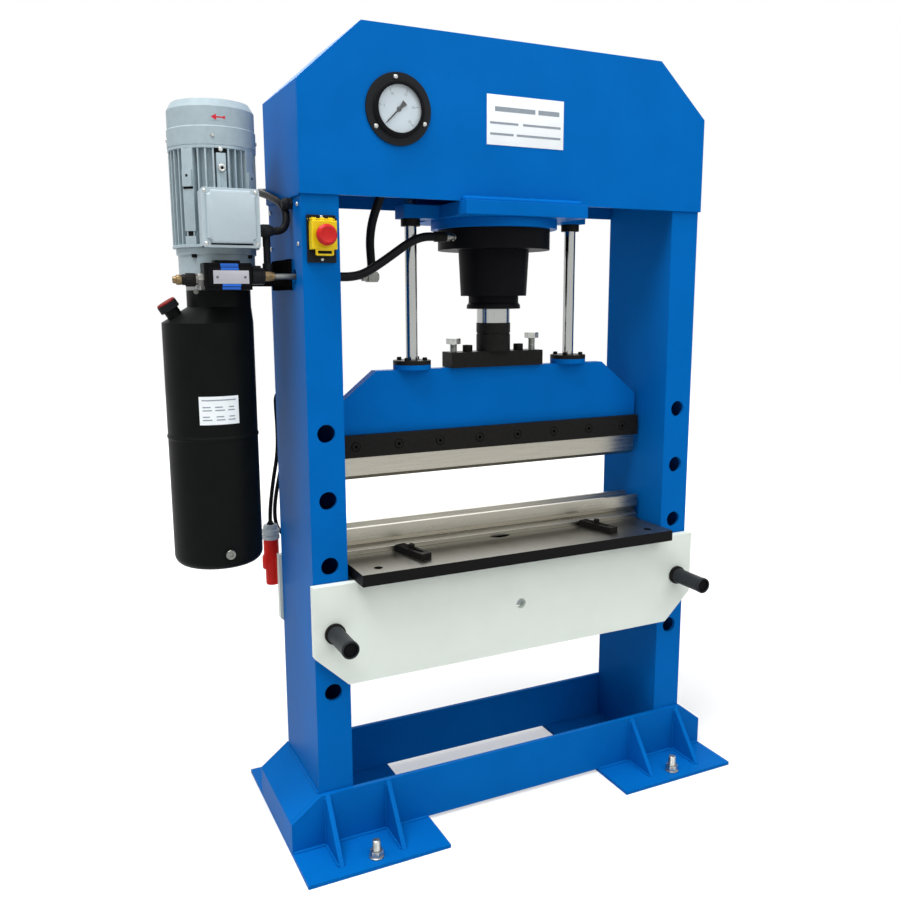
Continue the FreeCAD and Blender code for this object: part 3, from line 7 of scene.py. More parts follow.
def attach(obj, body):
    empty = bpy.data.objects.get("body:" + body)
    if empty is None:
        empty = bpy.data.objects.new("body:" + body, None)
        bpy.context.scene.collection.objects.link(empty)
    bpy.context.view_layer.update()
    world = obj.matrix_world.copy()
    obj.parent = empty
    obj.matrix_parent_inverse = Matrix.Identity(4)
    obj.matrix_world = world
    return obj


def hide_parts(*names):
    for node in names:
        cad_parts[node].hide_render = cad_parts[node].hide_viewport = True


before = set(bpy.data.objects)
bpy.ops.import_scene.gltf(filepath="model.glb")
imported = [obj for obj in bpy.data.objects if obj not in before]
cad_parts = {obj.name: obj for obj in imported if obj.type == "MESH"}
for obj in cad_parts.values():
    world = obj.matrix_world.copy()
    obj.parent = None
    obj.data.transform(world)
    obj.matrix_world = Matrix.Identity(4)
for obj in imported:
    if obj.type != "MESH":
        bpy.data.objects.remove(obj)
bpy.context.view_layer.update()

# ------------ Camera
# The photograph was taken from the front left, from a little under 2 m away and at chest height,
# with the lens tilted slightly down.
CAMERA_PLACE = Vector((-0.9276, -1.7113, 1.1074))
CAMERA_TURN = math.radians(25.645)
CAMERA_TILT = math.radians(9.794)
CAMERA_ROLL = math.radians(-0.23)
CAMERA_LENS = 35.264

forward = Vector((math.sin(CAMERA_TURN) * math.cos(CAMERA_TILT),
                  math.cos(CAMERA_TURN) * math.cos(CAMERA_TILT), -math.sin(CAMERA_TILT)))
level = Vector((math.cos(CAMERA_TURN), -math.sin(CAMERA_TURN), 0))
right = level * math.cos(CAMERA_ROLL) + level.cross(forward) * math.sin(CAMERA_ROLL)
upward = right.cross(forward)
lens = bpy.data.cameras.new("photo_camera")
lens.sensor_width = 36
lens.lens = CAMERA_LENS
camera = bpy.data.objects.new("photo_camera", lens)
facing = Matrix((right, upward, -forward)).transposed().to_4x4()
camera.matrix_world = Matrix.Translation(CAMERA_PLACE) @ facing
bpy.context.collection.objects.link(camera)
bpy.context.scene.camera = camera

# ------------ Hoses, conduit and supply cord
# Two rubber hydraulic hoses with crimped ends, a smooth black conduit that carries the motor's wires
# into the crown, and the rubber supply cord, which hangs doubled over a hook behind the left column.


def add_node(tree, kind, inputs=None, operation=None):
    """Adds a shader node. Each input gets its value, or a link from another node's output."""
    node = tree.nodes.new("ShaderNode" + kind)
    if operation:
        node.operation = operation
    for socket, value in (inputs or {}).items():
        if isinstance(value, bpy.types.NodeSocket):
            tree.links.new(value, node.inputs[socket])
        else:
            node.inputs[socket].default_value = value
    return node


def finish(name, colour, metallic, roughness, mottle=0.08, grain=60.0, stretch=(1, 1, 1), relief=0.0,
           coat=0.0, streak=0.0, shine=0.3):
    """A surface finish: its colour and gloss vary a little, in patches of the grain's size."""
    material = bpy.data.materials.new(name)
    material.use_nodes = True
    tree = material.node_tree
    shader = tree.nodes["Principled BSDF"]
    shader.inputs["Metallic"].default_value = metallic
    shader.inputs["Specular IOR Level"].default_value = shine
    shader.inputs["Coat Weight"].default_value = coat
    shader.inputs["Coat Roughness"].default_value = 0.12
    place = add_node(tree, "TexCoord")
    spread = add_node(tree, "Mapping", {
        "Scale": [grain * part for part in stretch], "Vector": place.outputs["Object"]})
    patches = add_node(tree, "TexNoise", {"Scale": 1.0, "Detail": 6.0, "Vector": spread.outputs["Vector"]})
    tint = add_node(tree, "ValToRGB", {"Fac": patches.outputs["Fac"]})
    for stop, position, shade in zip(tint.color_ramp.elements, (0.3, 0.7), (1 - mottle, 1 + mottle)):
        stop.position = position
        stop.color = [min(1, part * shade) for part in colour] + [1]
    tree.links.new(tint.outputs["Color"], shader.inputs["Base Color"])
    gloss = add_node(tree, "MapRange", {
        "To Min": max(0.02, roughness * (1 - 2 * mottle - streak)),
        "To Max": min(1.0, roughness * (1 + 2 * mottle + streak)), "Value": patches.outputs["Fac"]})
    tree.links.new(gloss.outputs["Result"], shader.inputs["Roughness"])
    if relief:
        bump = add_node(tree, "Bump", {
            "Strength": 0.5, "Distance": relief, "Height": patches.outputs["Fac"]})
        tree.links.new(bump.outputs["Normal"], shader.inputs["Normal"])
    return material


hose_rubber = finish("hose_rubber", (0.007, 0.007, 0.008), 0, 0.45, mottle=0.15, grain=300, relief=0.0002,
                     shine=0.06)
cord_rubber = finish("cord_rubber", (0.010, 0.010, 0.011), 0, 0.5, mottle=0.1, grain=400, relief=0.0001,
                     shine=0.06)


def fitted(name, data, material, body):
    """Puts a finished mesh or curve on the machine, on the body that carries it."""
    piece = bpy.data.objects.new(name, data)
    data.materials.append(material)
    bpy.context.collection.objects.link(piece)
    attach(piece, body)
    return piece


def hose_line(route, diameter, name):
    """The smooth line of a hose or cord, with the route's points as its control points."""
    line = bpy.data.curves.new(name, "CURVE")
    line.dimensions = "3D"
    line.bevel_depth = diameter / 2
    line.bevel_resolution = 6
    line.resolution_u = 10
    line.use_fill_caps = True
    spline = line.splines.new("NURBS")
    spline.points.add(len(route) - 1)
    for point, place in zip(spline.points, route):
        point.co = (*place, 1)
    spline.order_u = 3
    spline.use_endpoint_u = True
    return line


PRESSURE_HOSE_ROUTE = [
    (-0.4, -0.059, 1.148), (-0.372, -0.059, 1.148), (-0.343, -0.056, 1.1485), (-0.317, -0.049, 1.154),
    (-0.29, -0.044, 1.168), (-0.255, -0.041, 1.19), (-0.224, -0.04, 1.211), (-0.203, -0.04, 1.2225),
    (-0.184, -0.04, 1.2285), (-0.17, -0.04, 1.23), (-0.159, -0.04, 1.23),
]
GAUGE_HOSE_ROUTE = [
    (-0.268, -0.09, 1.384), (-0.269, -0.087, 1.362), (-0.274, -0.075, 1.332), (-0.2815, -0.05, 1.296),
    (-0.2865, -0.022, 1.257), (-0.2845, -0.003, 1.222), (-0.28, 0.0065, 1.198), (-0.277, 0.01, 1.174),
]
CONDUIT_ROUTE = [
    (-0.496, -0.062, 1.23), (-0.485, -0.062, 1.23), (-0.474, -0.06, 1.237), (-0.469, -0.057, 1.252),
    (-0.468, -0.047, 1.27), (-0.4685, -0.024, 1.284), (-0.469, 0.012, 1.294), (-0.469, 0.062, 1.306),
    (-0.47, 0.12, 1.317), (-0.466, 0.166, 1.325), (-0.444, 0.202, 1.33), (-0.407, 0.215, 1.333),
    (-0.371, 0.203, 1.332), (-0.35, 0.17, 1.33), (-0.35, 0.139, 1.33),
]
CORD_ROUTE = [
    (-0.424, 0.123, 0.577), (-0.424, 0.136, 0.577), (-0.429, 0.15, 0.582), (-0.442, 0.164, 0.592),
    (-0.453, 0.172, 0.61), (-0.455, 0.175, 0.642), (-0.45, 0.174, 0.682), (-0.44, 0.17, 0.732),
    (-0.426, 0.164, 0.785), (-0.4145, 0.159, 0.838), (-0.4108, 0.157, 0.878), (-0.411, 0.156, 0.9007),
    (-0.4218, 0.1555, 0.9115), (-0.4372, 0.155, 0.9115), (-0.448, 0.155, 0.9007), (-0.4484, 0.155, 0.878),
    (-0.4466, 0.155, 0.838), (-0.4475, 0.155, 0.779), (-0.459, 0.155, 0.722), (-0.4665, 0.155, 0.674),
    (-0.47, 0.155, 0.641), (-0.47, 0.155, 0.619),
]
HOSE_DIAMETER = 0.0175
CONDUIT_DIAMETER = 0.014
CORD_DIAMETER = 0.0085

for name, route, diameter, rubber, length in (
        ("pressure_hose_line", PRESSURE_HOSE_ROUTE, HOSE_DIAMETER, hose_rubber, 0.263),
        ("gauge_hose_line", GAUGE_HOSE_ROUTE, HOSE_DIAMETER, hose_rubber, 0.238),
        ("motor_conduit_line", CONDUIT_ROUTE, CONDUIT_DIAMETER, hose_rubber, 0.465)):
    hose = fitted(name, hose_line(route, diameter, name), rubber, "frame")
    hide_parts(name.removesuffix("_line"))

supply_cord = fitted("supply_cord_line", hose_line(CORD_ROUTE, CORD_DIAMETER, "supply_cord_line"),
                     cord_rubber, "frame")
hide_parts("supply_cord")

MM = 0.001


def ring_round(work, base, axis, height, reaches):
    """Adds a ring of corners round an axis, at that height above base, each at its own reach."""
    to_axis = Vector((0, 0, 1)).rotation_difference(Vector(axis)).to_matrix()
    share = math.tau / len(reaches)
    return [work.verts.new(Vector(base) + to_axis @ Vector((
        reach * math.cos(share * step), reach * math.sin(share * step), height)))
        for step, reach in enumerate(reaches)]


def skin(work, rings, capped=True):
    """Joins rings of corners (a tip has one corner) into a side, and closes its ends if capped."""
    for low, high in zip(rings, rings[1:]):
        for step in range(max(len(low), len(high))):
            corners = [low[step % len(low)], low[(step + 1) % len(low)],
                       high[(step + 1) % len(high)], high[step % len(high)]]
            kept = [corner for place, corner in enumerate(corners) if corner not in corners[:place]]
            if len(kept) > 2:
                work.faces.new(kept)
    for end in (rings[0][::-1], rings[-1]):
        if capped and len(end) > 1:
            work.faces.new(end)


def turn(work, profile, base=(0, 0, 0), axis=(0, 0, 1), sides=40):
    """Adds a turned piece: the half section's (radius, height) points, spun about the axis from base.

    A section that ends where it starts makes a ring; any other is closed by a flat face at each end.
    """
    rings = [ring_round(work, base, axis, height, [radius] * (sides if radius > 0 else 1))
             for radius, height in profile]
    skin(work, rings, profile[0] != profile[-1])


def outward_at(degrees):
    """The direction that lies at that angle round an upright axis."""
    angle = math.radians(degrees)
    return Vector((math.cos(angle), math.sin(angle), 0))


def solid(name, work, material, body="frame", sharp=35):
    """Puts a work piece in millimetres on the machine, in metres, smooth except along its sharp edges."""
    bmesh.ops.recalc_face_normals(work, faces=work.faces)
    work.transform(Matrix.Scale(MM, 4))
    mesh = bpy.data.meshes.new(name)
    work.to_mesh(mesh)
    work.free()
    mesh.polygons.foreach_set("use_smooth", [True] * len(mesh.polygons))
    mesh.set_sharp_from_angle(angle=math.radians(sharp))
    return fitted(name, mesh, material, body)


def turned(name, material, profile, base=(0, 0, 0), axis=(0, 0, 1), sides=40, body="frame"):
    """Puts a piece that is a single turning on the machine."""
    work = bmesh.new()
    turn(work, profile, base, axis, sides)
    return solid(name, work, material, body)


def strain_relief(work, base, axis, wide, narrow, length, grooves):
    """Adds a tapered rubber sleeve with grooves round it."""
    profile = [(narrow, 0), (wide, 0), (wide, 3)]
    for step in range(grooves):
        share = (step + 1) / (grooves + 1)
        radius = wide + (narrow - wide) * share
        height = 3 + (length - 3) * share
        profile += [(radius, height - 1.2), (radius - 1, height - 0.8), (radius - 1, height),
                    (radius, height + 0.4)]
    turn(work, profile + [(narrow, length), (narrow - 1, length)], base, axis, 24)


cord_sleeve = bmesh.new()
strain_relief(cord_sleeve, (-424, 115, 577), (0, 1, 0), 9.5, 5.4, 21, 3)
solid("cord_strain_relief", cord_sleeve, cord_rubber)
plug_sleeve = bmesh.new()
strain_relief(plug_sleeve, (-470, 155, 619), (0, 0, 1), 7.5, 5.2, 7, 1)
plug_sleeve = solid("plug_strain_relief", plug_sleeve, cord_rubber)

# ------------ Supply plug
# A five-pin industrial plug of red nylon with a grey gland nut. It hangs on the cord behind the left
# column: body, ribbed grip ring and a shroud round its pins.
red_nylon = finish("red_nylon", (0.60, 0.014, 0.010), 0, 0.36, mottle=0.05, grain=120, relief=0.0001,
                   shine=0.1)
grey_nylon = finish("grey_nylon", (0.42, 0.47, 0.49), 0, 0.45, mottle=0.06, grain=120, relief=0.0001,
                    shine=0.15)
pin_steel = finish("pin_steel", (0.125, 0.125, 0.118), 1, 0.40, grain=200)
PLUG_X, PLUG_Y = -470, 155

gland_nut = turned("plug_gland_nut", grey_nylon,
                   [(8, 619), (14, 619), (16, 615), (16, 610), (19, 608), (19, 600), (17.5, 599), (17.5, 596),
                    (19, 595), (19, 587), (15, 586), (8, 586)], (PLUG_X, PLUG_Y, 0), sides=36)
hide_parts("supply_plug")

plug_shell = bmesh.new()
turn(plug_shell, [(12, 588), (16.5, 586), (16.5, 553), (19.5, 548), (19.5, 521), (14, 521), (14, 487),
                  (13, 484), (11.5, 484), (11.5, 500), (0, 500)], (PLUG_X, PLUG_Y, 0), sides=48)
for step in range(18):
    turn(plug_shell, [(0.5, 0), (1.2, 1), (1.2, 24), (0.5, 25)],
         Vector((PLUG_X, PLUG_Y, 522)) + outward_at(step * 20) * 19.1, sides=8)
plug_shell = solid("plug_shell", plug_shell, red_nylon)

plug_pins = bmesh.new()
for step in range(5):
    turn(plug_pins, [(2, 0), (2, 12), (1.4, 13), (0, 13)],
         Vector((PLUG_X, PLUG_Y, 500)) + outward_at(step * 72) * 6, (0, 0, -1), 12)
plug_pins = solid("plug_pins", plug_pins, pin_steel)

# ------------ Cord hook
# A turned steel bobbin, painted gloss black and welded behind the left column. The supply cord hangs
# over it when it isn't in use.
gloss_black = finish("gloss_black", (0.006, 0.006, 0.007), 0, 0.34, mottle=0.1, grain=40, relief=0.0002,
                     shine=0.03)
turned("cord_hook", gloss_black,
       [(18, 0), (18, 3), (13, 4), (13, 50), (16, 52), (17, 54), (16.5, 56), (0, 56)], (-429.6, 115, 893),
       (0, 1, 0))

# ------------ Welded frame
# Mild steel plate and folded box columns, MAG-welded, ground at the faces and powder-coated in one
# blue coat over plates and weld beads alike.
frame_blue = finish("frame_blue", (0.001, 0.118, 0.425), 0, 0.34, mottle=0.05, grain=9, relief=0.0004,
                    shine=0.012)


def dressed(coat, edge, *nodes):
    """Gives frame nodes their finish, and breaks their sharp edges by that many millimetres."""
    for node in nodes:
        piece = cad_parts[node]
        for place in piece.material_slots:
            place.material = coat
        if edge:
            joined = piece.modifiers.new("joined", "WELD")
            joined.merge_threshold = 0.00001
            flattened = piece.modifiers.new("flattened", "DECIMATE")
            flattened.decimate_type = "DISSOLVE"
            flattened.angle_limit = math.radians(0.4)
            broken = piece.modifiers.new("broken_edges", "BEVEL")
            broken.width = edge * MM
            broken.segments = 2
            broken.angle_limit = math.radians(40)
            level_faces = piece.modifiers.new("level_faces", "WEIGHTED_NORMAL")
            level_faces.weight = 100
            level_faces.keep_sharp = True


dressed(frame_blue, 1.2, "column_left", "column_right", "crown_plates", "crown_cover", "mount_plate")
dressed(frame_blue, 1.0, "base_plates", "base_end_covers", "foot_plates", "gussets", "cylinder_flange")


def weld_bead(work, start, end, radius, ripple=3.2):
    """Adds a weld bead with its ripples, from start to end."""
    start, end = Vector(start), Vector(end)
    run = end - start
    along = run.normalized()
    across = along.orthogonal().normalized()
    beside = along.cross(across)
    count = max(4, int(run.length / ripple) * 2)
    rings = []
    for step in range(count + 1):
        share = step / count
        middle = start + run * share
        swell = radius * (0.86 + 0.14 * (step % 2) + 0.12 * noise.noise(middle * 0.11))
        if step in (0, count):
            swell *= 0.4
        rings.append([work.verts.new(middle + (across * math.cos(math.tau * side / 8)
                                               + beside * math.sin(math.tau * side / 8)) * swell)
                      for side in range(8)])
    skin(work, rings)


foot_welds = bmesh.new()
FRAME_FRONT, GUSSET_TIP, FOOT_TOP, BASE_TOP = 125, 211, 8, 118
FOOT_BEAD, COLUMN_SIDE = FOOT_TOP + 1, 459
for side in (-1, 1):
    for middle_x in (-444, -312, 312, 444):
        for face in (-5.5, 5.5):
            x = middle_x + face
            weld_bead(foot_welds, (x, side * FRAME_FRONT, FOOT_BEAD), (x, side * (GUSSET_TIP - 6), FOOT_BEAD),
                      3.4)
            weld_bead(foot_welds, (x, side * (FRAME_FRONT + 1), FOOT_TOP + 2),
                      (x, side * (FRAME_FRONT + 1), BASE_TOP - 6), 3.0)
    for end in (-1, 1):
        weld_bead(foot_welds, (end * 222, side * (FRAME_FRONT + 1), FOOT_BEAD),
                  (end * 518, side * (FRAME_FRONT + 1), FOOT_BEAD), 3.4)
for end in (-1, 1):
    for x, z, radius in ((517, FOOT_BEAD, 2.6), (COLUMN_SIDE, BASE_TOP, 3.2), (385, FOOT_BEAD, 3.4)):
        weld_bead(foot_welds, (end * x, -112, z), (end * x, 112, z), radius)
solid("foot_weld_beads", foot_welds, frame_blue, sharp=80)

crown_welds = bmesh.new()
for side in (-1, 1):
    weld_bead(crown_welds, (-138, side * FRAME_FRONT, 1297), (138, side * FRAME_FRONT, 1297), 7.5, 5.0)
    for end in (-1, 1):
        weld_bead(crown_welds, (end * 386, side * 110, 1480), (end * 386, side * 60, 1480), 3.0)
for end in (-1, 1):
    weld_bead(crown_welds, (end * COLUMN_SIDE, -110, 1293), (end * COLUMN_SIDE, 110, 1293), 2.4)
solid("crown_weld_beads", crown_welds, frame_blue, sharp=80)

# ------------ Side cover screws
# Four zinc-plated steel pan-head screws in the left column's outer face. They hold the wiring cover
# inside the column.
zinc_plate = finish("zinc_plate", (0.42, 0.43, 0.41), 1, 0.38, mottle=0.14, grain=180, streak=0.2)
cover_screws = bmesh.new()
for y in (-93, 100):
    for z in (1206, 1277):
        turn(cover_screws, [(4.6, 0), (4.6, 0.8), (3.6, 2.2), (1.2, 2.6), (1.0, 1.6), (0, 1.6)], (-458, y, z),
             (-1, 0, 0), 20)
solid("side_cover_screws", cover_screws, zinc_plate)

# ------------ Rating plate
# A white enamelled sheet-metal plate, glued to the crown's front. Its print is left as plain grey
# bars.
white_enamel = finish("white_enamel", (0.80, 0.84, 0.86), 0, 0.32, mottle=0.02, grain=30, coat=0.2)
print_grey = finish("print_grey", (0.24, 0.28, 0.32), 0, 0.5, mottle=0.05, grain=100)


def bar(work, low, high, edge=0.6):
    """Adds a block between two corners, with its edges broken."""
    block = bmesh.ops.create_cube(work, size=1)["verts"]
    low, high = Vector(low), Vector(high)
    bmesh.ops.scale(work, vec=high - low, verts=block)
    bmesh.ops.translate(work, vec=(low + high) / 2, verts=block)
    if edge:
        edges = list(dict.fromkeys(line for corner in block for line in corner.link_edges))
        bmesh.ops.bevel(work, geom=edges, offset=edge, segments=2, profile=0.7, affect="EDGES")


PLATE_LEFT, PLATE_FRONT, PLATE_LOW = -82, -122, 1403
PLATE_WIDTH, PLATE_HEIGHT = 176, 94
sheet = bmesh.new()
bar(sheet, (PLATE_LEFT, PLATE_FRONT, PLATE_LOW),
    (PLATE_LEFT + PLATE_WIDTH, PLATE_FRONT + 1, PLATE_LOW + PLATE_HEIGHT), 0.3)
solid("rating_plate", sheet, white_enamel)
rows = bmesh.new()
for share, left, stop, height in ((0.72, 0.10, 0.62, 9.0), (0.72, 0.66, 0.94, 9.0), (0.44, 0.04, 0.40, 4.4),
                                  (0.44, 0.46, 0.96, 4.4), (0.22, 0.04, 0.34, 4.4), (0.22, 0.38, 0.96, 4.4)):
    z = PLATE_LOW + PLATE_HEIGHT * share
    bar(rows, (PLATE_LEFT + PLATE_WIDTH * left, PLATE_FRONT - 0.12, z - height / 2),
        (PLATE_LEFT + PLATE_WIDTH * stop, PLATE_FRONT + 0.1, z + height / 2), 0)
solid("rating_plate_bars", rows, print_grey)

# ------------ Pressure gauge
# A glycerine gauge in a black moulded case with a three-hole flange, a white printed dial, a black
# pointer with its counterweight, and a clear lens.
moulded_black = finish("moulded_black", (0.011, 0.012, 0.014), 0, 0.42, grain=160, relief=0.0001, shine=0.07)
dial_white = finish("dial_white", (0.50, 0.58, 0.63), 0, 0.5, mottle=0.015, grain=30)
dial_ink = finish("dial_ink", (0.045, 0.05, 0.06), 0, 0.5, mottle=0.05, grain=100)
lens_glass = finish("lens_glass", (0.9, 0.95, 0.96), 0, 0.05, mottle=0.02, grain=10)
lens_glass.node_tree.nodes["Principled BSDF"].inputs["Alpha"].default_value = 0.05
GAUGE_X, GAUGE_Z = -268, 1452
PRINT_FRONT = -125.41
NUMERAL_REACH = 29.5
dressed(moulded_black, 0, "gauge_case", "gauge_needle")
dressed(lens_glass, 0, "gauge_lens")

turned("gauge_dial_card", dial_white, [(2, 0), (46.7, 0), (46.7, 0.3), (2, 0.3)],
       (GAUGE_X, -125.05, GAUGE_Z), (0, -1, 0), 72)

dial_print = bmesh.new()
for step in range(51):
    angle = math.radians(225 - 270 * step / 50)
    outward = Vector((math.cos(angle), 0, math.sin(angle)))
    sideways = Vector((-math.sin(angle), 0, math.cos(angle)))
    inner, half = (34.5, 0.55) if step % 10 == 0 else (37.6, 0.25)
    centre = Vector((GAUGE_X, PRINT_FRONT, GAUGE_Z))
    corners = [centre + outward * reach + sideways * across
               for reach, across in ((inner, -half), (40.5, -half), (40.5, half), (inner, half))]
    dial_print.faces.new([dial_print.verts.new(corner) for corner in corners])
for step in range(6):
    angle = math.radians(225 - 54 * step)
    numeral = bpy.data.curves.new("numeral", "FONT")
    numeral.body = str(step * 5)
    numeral.size = 6.5
    numeral.align_x = "CENTER"
    numeral.align_y = "CENTER"
    stand = bpy.data.objects.new("numeral", numeral)
    outline = bpy.data.meshes.new_from_object(stand)
    middle = (GAUGE_X + NUMERAL_REACH * math.cos(angle), PRINT_FRONT,
              GAUGE_Z + NUMERAL_REACH * math.sin(angle))
    outline.transform(Matrix.Translation(middle) @ Matrix.Rotation(math.radians(90), 4, "X"))
    dial_print.from_mesh(outline)
    bpy.data.meshes.remove(outline)
    bpy.data.objects.remove(stand)
    bpy.data.curves.remove(numeral)
solid("gauge_dial_marks", dial_print, dial_ink)

turned("gauge_bezel", gloss_black,
       [(42.6, 0), (49.4, 0), (49.4, 0.5), (48.8, 0.9), (44, 0.9), (42.6, 0.3), (42.6, 0)],
       (GAUGE_X, -130.9, GAUGE_Z), (0, -1, 0), 72)
pointer = bmesh.new()
SLANT = math.sqrt(0.5)
for (back, narrow), (tip, wide) in (((-35, 1.0), (-4, 1.7)), ((4, 2.5), (17, 5.4))):
    corners = (back, narrow), (tip, wide), (tip, -wide), (back, -narrow)
    skin(pointer, [[pointer.verts.new((GAUGE_X + (along - across) * SLANT, y,
                                       GAUGE_Z + (along + across) * SLANT)) for along, across in corners]
                   for y in (-126.3, -127.4)])
solid("gauge_pointer_blades", pointer, moulded_black, "gauge_pointer")

gauge_screws = bmesh.new()
for degrees in (96, 216, 336):
    angle = math.radians(degrees)
    turn(gauge_screws, [(4.4, 0), (4.4, 1), (3.4, 2.4), (1.2, 2.8), (1, 1.6), (0, 1.6)],
         (GAUGE_X + 56.5 * math.cos(angle), -125, GAUGE_Z + 56.5 * math.sin(angle)), (0, -1, 0), 20)
solid("gauge_flange_screws", gauge_screws, zinc_plate)

# ------------ Motor switch
# A black switch base let into the column, with a yellow hinged flap that carries a red mushroom head
# over the stop button. Lift the flap to reach the green start button.
# Matt near-black: the colour of the dark flange bolt heads and the rotor, and also painted shade in the
# motor's gaps, notches and holes and in the pin grips' recesses.
black_and_painted_shade = finish("black_and_painted_shade", (0.006, 0.006, 0.007), 0, 0.7, mottle=0.1, grain=120, shine=0.05)
yellow_cover = finish("yellow_cover", (0.72, 0.52, 0.006), 0, 0.30, mottle=0.04, grain=80, shine=0.2)
mushroom_red = finish("mushroom_red", (0.50, 0.016, 0.014), 0, 0.34, mottle=0.05, grain=80, shine=0.15)
button_green = finish("button_green", (0.02, 0.32, 0.06), 0, 0.32, mottle=0.05, grain=80)
dressed(moulded_black, 0.8, "switch_base")
dressed(yellow_cover, 0, "switch_flap")
dressed(mushroom_red, 0, "stop_mushroom", "stop_button")
dressed(button_green, 0, "start_button")
SWITCH_X = -422
LOOP_FRONT, LOOP_BACK = -138.3, -133.3

flap_trim = bmesh.new()
for middle, half_width, low, high, edge in ((0, 17.5, 1192.4, 1195.6, 1.2), (0, 15.5, 1183.6, 1187.2, 1.4),
                                            (-15.2, 2, 1184.6, 1194, 1.6), (15.2, 2, 1184.6, 1194, 1.6)):
    left, stop = SWITCH_X + middle - half_width, SWITCH_X + middle + half_width
    bar(flap_trim, (left, LOOP_FRONT, low), (stop, LOOP_BACK, high), edge)
solid("flap_loop", flap_trim, yellow_cover, "flap")

turned("mushroom_ring", mushroom_red,
       [(0, 0.5), (10.6, 0.5), (11.8, 0.8), (13.0, 1.5), (14.4, 1.6), (15.6, 1.1), (16.8, 0), (17.6, -1.6),
        (16, -2.4)], (SWITCH_X, -157.9, 1220), (0, -1, 0), 48, body="mushroom")

switch_screws = bmesh.new()
for z in (1177.5, 1253.5):
    turn(switch_screws, [(3, 0), (3, 0.8), (2.2, 1.8), (0.9, 2), (0.8, 1.2), (0, 1.2)], (SWITCH_X, -121, z),
         (0, -1, 0), 18)
solid("switch_screws", switch_screws, zinc_plate)

# ------------ Motor
# An aluminium-framed induction motor, flange down, sprayed light silver-grey: a finned frame with foot
# pads, a pressed fan cowl, a bell housing, and a terminal box whose lid four screws hold.
motor_silver = finish("motor_silver", (0.345, 0.425, 0.46), 0.2, 0.44, mottle=0.05, grain=70, relief=0.0002,
                      shine=0.2)
cowl_silver = finish("cowl_silver", (0.335, 0.41, 0.445), 0, 0.55, mottle=0.05, grain=70, relief=0.0002,
                     shine=0.12)
lid_grey = finish("lid_grey", (0.41, 0.49, 0.53), 0, 0.36, mottle=0.02, grain=60, relief=0.0001)
arrow_red = finish("arrow_red", (0.52, 0.008, 0.025), 0, 0.45, mottle=0.04, grain=60)
MOTOR_X, MOTOR_Y = -582, 34
dressed(motor_silver, 0.5, "motor_frame")
dressed(cowl_silver, 0, "fan_cowl")
dressed(motor_silver, 0.8, "bell_housing")
dressed(lid_grey, 0.6, "terminal_box")
dressed(black_and_painted_shade, 0, "motor_rotor")


def beside_motor(work, degrees, inner, outer, width, low, high, edge=0.6):
    """Adds a block on the motor's side: its middle at that angle round the motor's axis."""
    block = bmesh.new()
    bar(block, (inner, -width / 2, low), (outer, width / 2, high), edge)
    block.transform(Matrix.Translation((MOTOR_X, MOTOR_Y, 0))
                    @ Matrix.Rotation(math.radians(degrees), 4, "Z"))
    placed = bpy.data.meshes.new("block")
    block.to_mesh(placed)
    block.free()
    work.from_mesh(placed)
    bpy.data.meshes.remove(placed)


motor_pads = bmesh.new()
for degrees in (-135, -45, 135):
    beside_motor(motor_pads, degrees, 60, 79.8, 23, 1205, 1220)
    beside_motor(motor_pads, degrees, 60, 79.8, 23, 1229, 1376)
    beside_motor(motor_pads, degrees, 60, 74.5, 23, 1219, 1230)
    beside_motor(motor_pads, degrees, 78, 83.4, 20, 1307, 1336, 0.8)
for degrees in (-110, -100, -80, -70):
    beside_motor(motor_pads, degrees, 60, 79, 3.2, 1296, 1380, 0.5)
beside_motor(motor_pads, -90, 60, 79.5, 17, 1296, 1366, 1.2)
beside_motor(motor_pads, -90, 78, 81.5, 3, 1300, 1334, 1.0)
for low, high in ((1200, 1205.5), (1374, 1380)):
    hoop = [(70, low), (79.6, low), (80.2, low + 0.8), (80.2, high - 0.8), (79.6, high), (70, high)]
    turn(motor_pads, hoop, (MOTOR_X, MOTOR_Y, 0), sides=96)
solid("motor_pads", motor_pads, motor_silver)

# Painted shade: flat dark discs in the foot pads' holes, and dark blocks in the notches and under the raised
# pads, where shade falls.
pad_painted_shade = bmesh.new()
for degrees in (-135, -45, 135):
    outward = outward_at(degrees)
    turn(pad_painted_shade, [(2.6, 0), (2.6, 0.15), (0, 0.15)],
         Vector((MOTOR_X, MOTOR_Y, 1326)) + outward * 83.3, outward, 20)
for degrees in (-135, -45, 135):
    beside_motor(pad_painted_shade, degrees, 78, 80.1, 21, 1303, 1306.8, 0)
    beside_motor(pad_painted_shade, degrees, 70, 78.5, 14, 1221, 1228, 0)
beside_motor(pad_painted_shade, -90, 60, 78, 19, 1366, 1380, 0)
solid("motor_pad_painted_shade", pad_painted_shade, black_and_painted_shade)

motor_eye = bmesh.new()
EYE_Z = 1339
rings = []
for step in range(36):
    angle = math.tau * step / 36
    outward = Vector((math.cos(angle), 0, math.sin(angle)))
    rings.append([motor_eye.verts.new(Vector((MOTOR_X, -51, EYE_Z)) + outward * 4.8 + (
        outward * math.cos(math.tau * side / 12) + Vector((0, 1, 0)) * math.sin(math.tau * side / 12)) * 2.7)
        for side in range(12)])
skin(motor_eye, rings + rings[:1], False)
turn(motor_eye, [(4.2, 0), (4.2, 3), (3, 4), (0, 4)], (MOTOR_X, -43, 1372), (0, -1, 0), 20)
solid("lifting_eye", motor_eye, zinc_plate)
# Painted shade: a dark disc behind the lifting eye, seen through its ring.
turned("lifting_eye_painted_shade", black_and_painted_shade, [(3.4, 0), (3.4, 2), (0, 2)], (MOTOR_X, -47.6, EYE_Z),
       (0, -1, 0), 24)


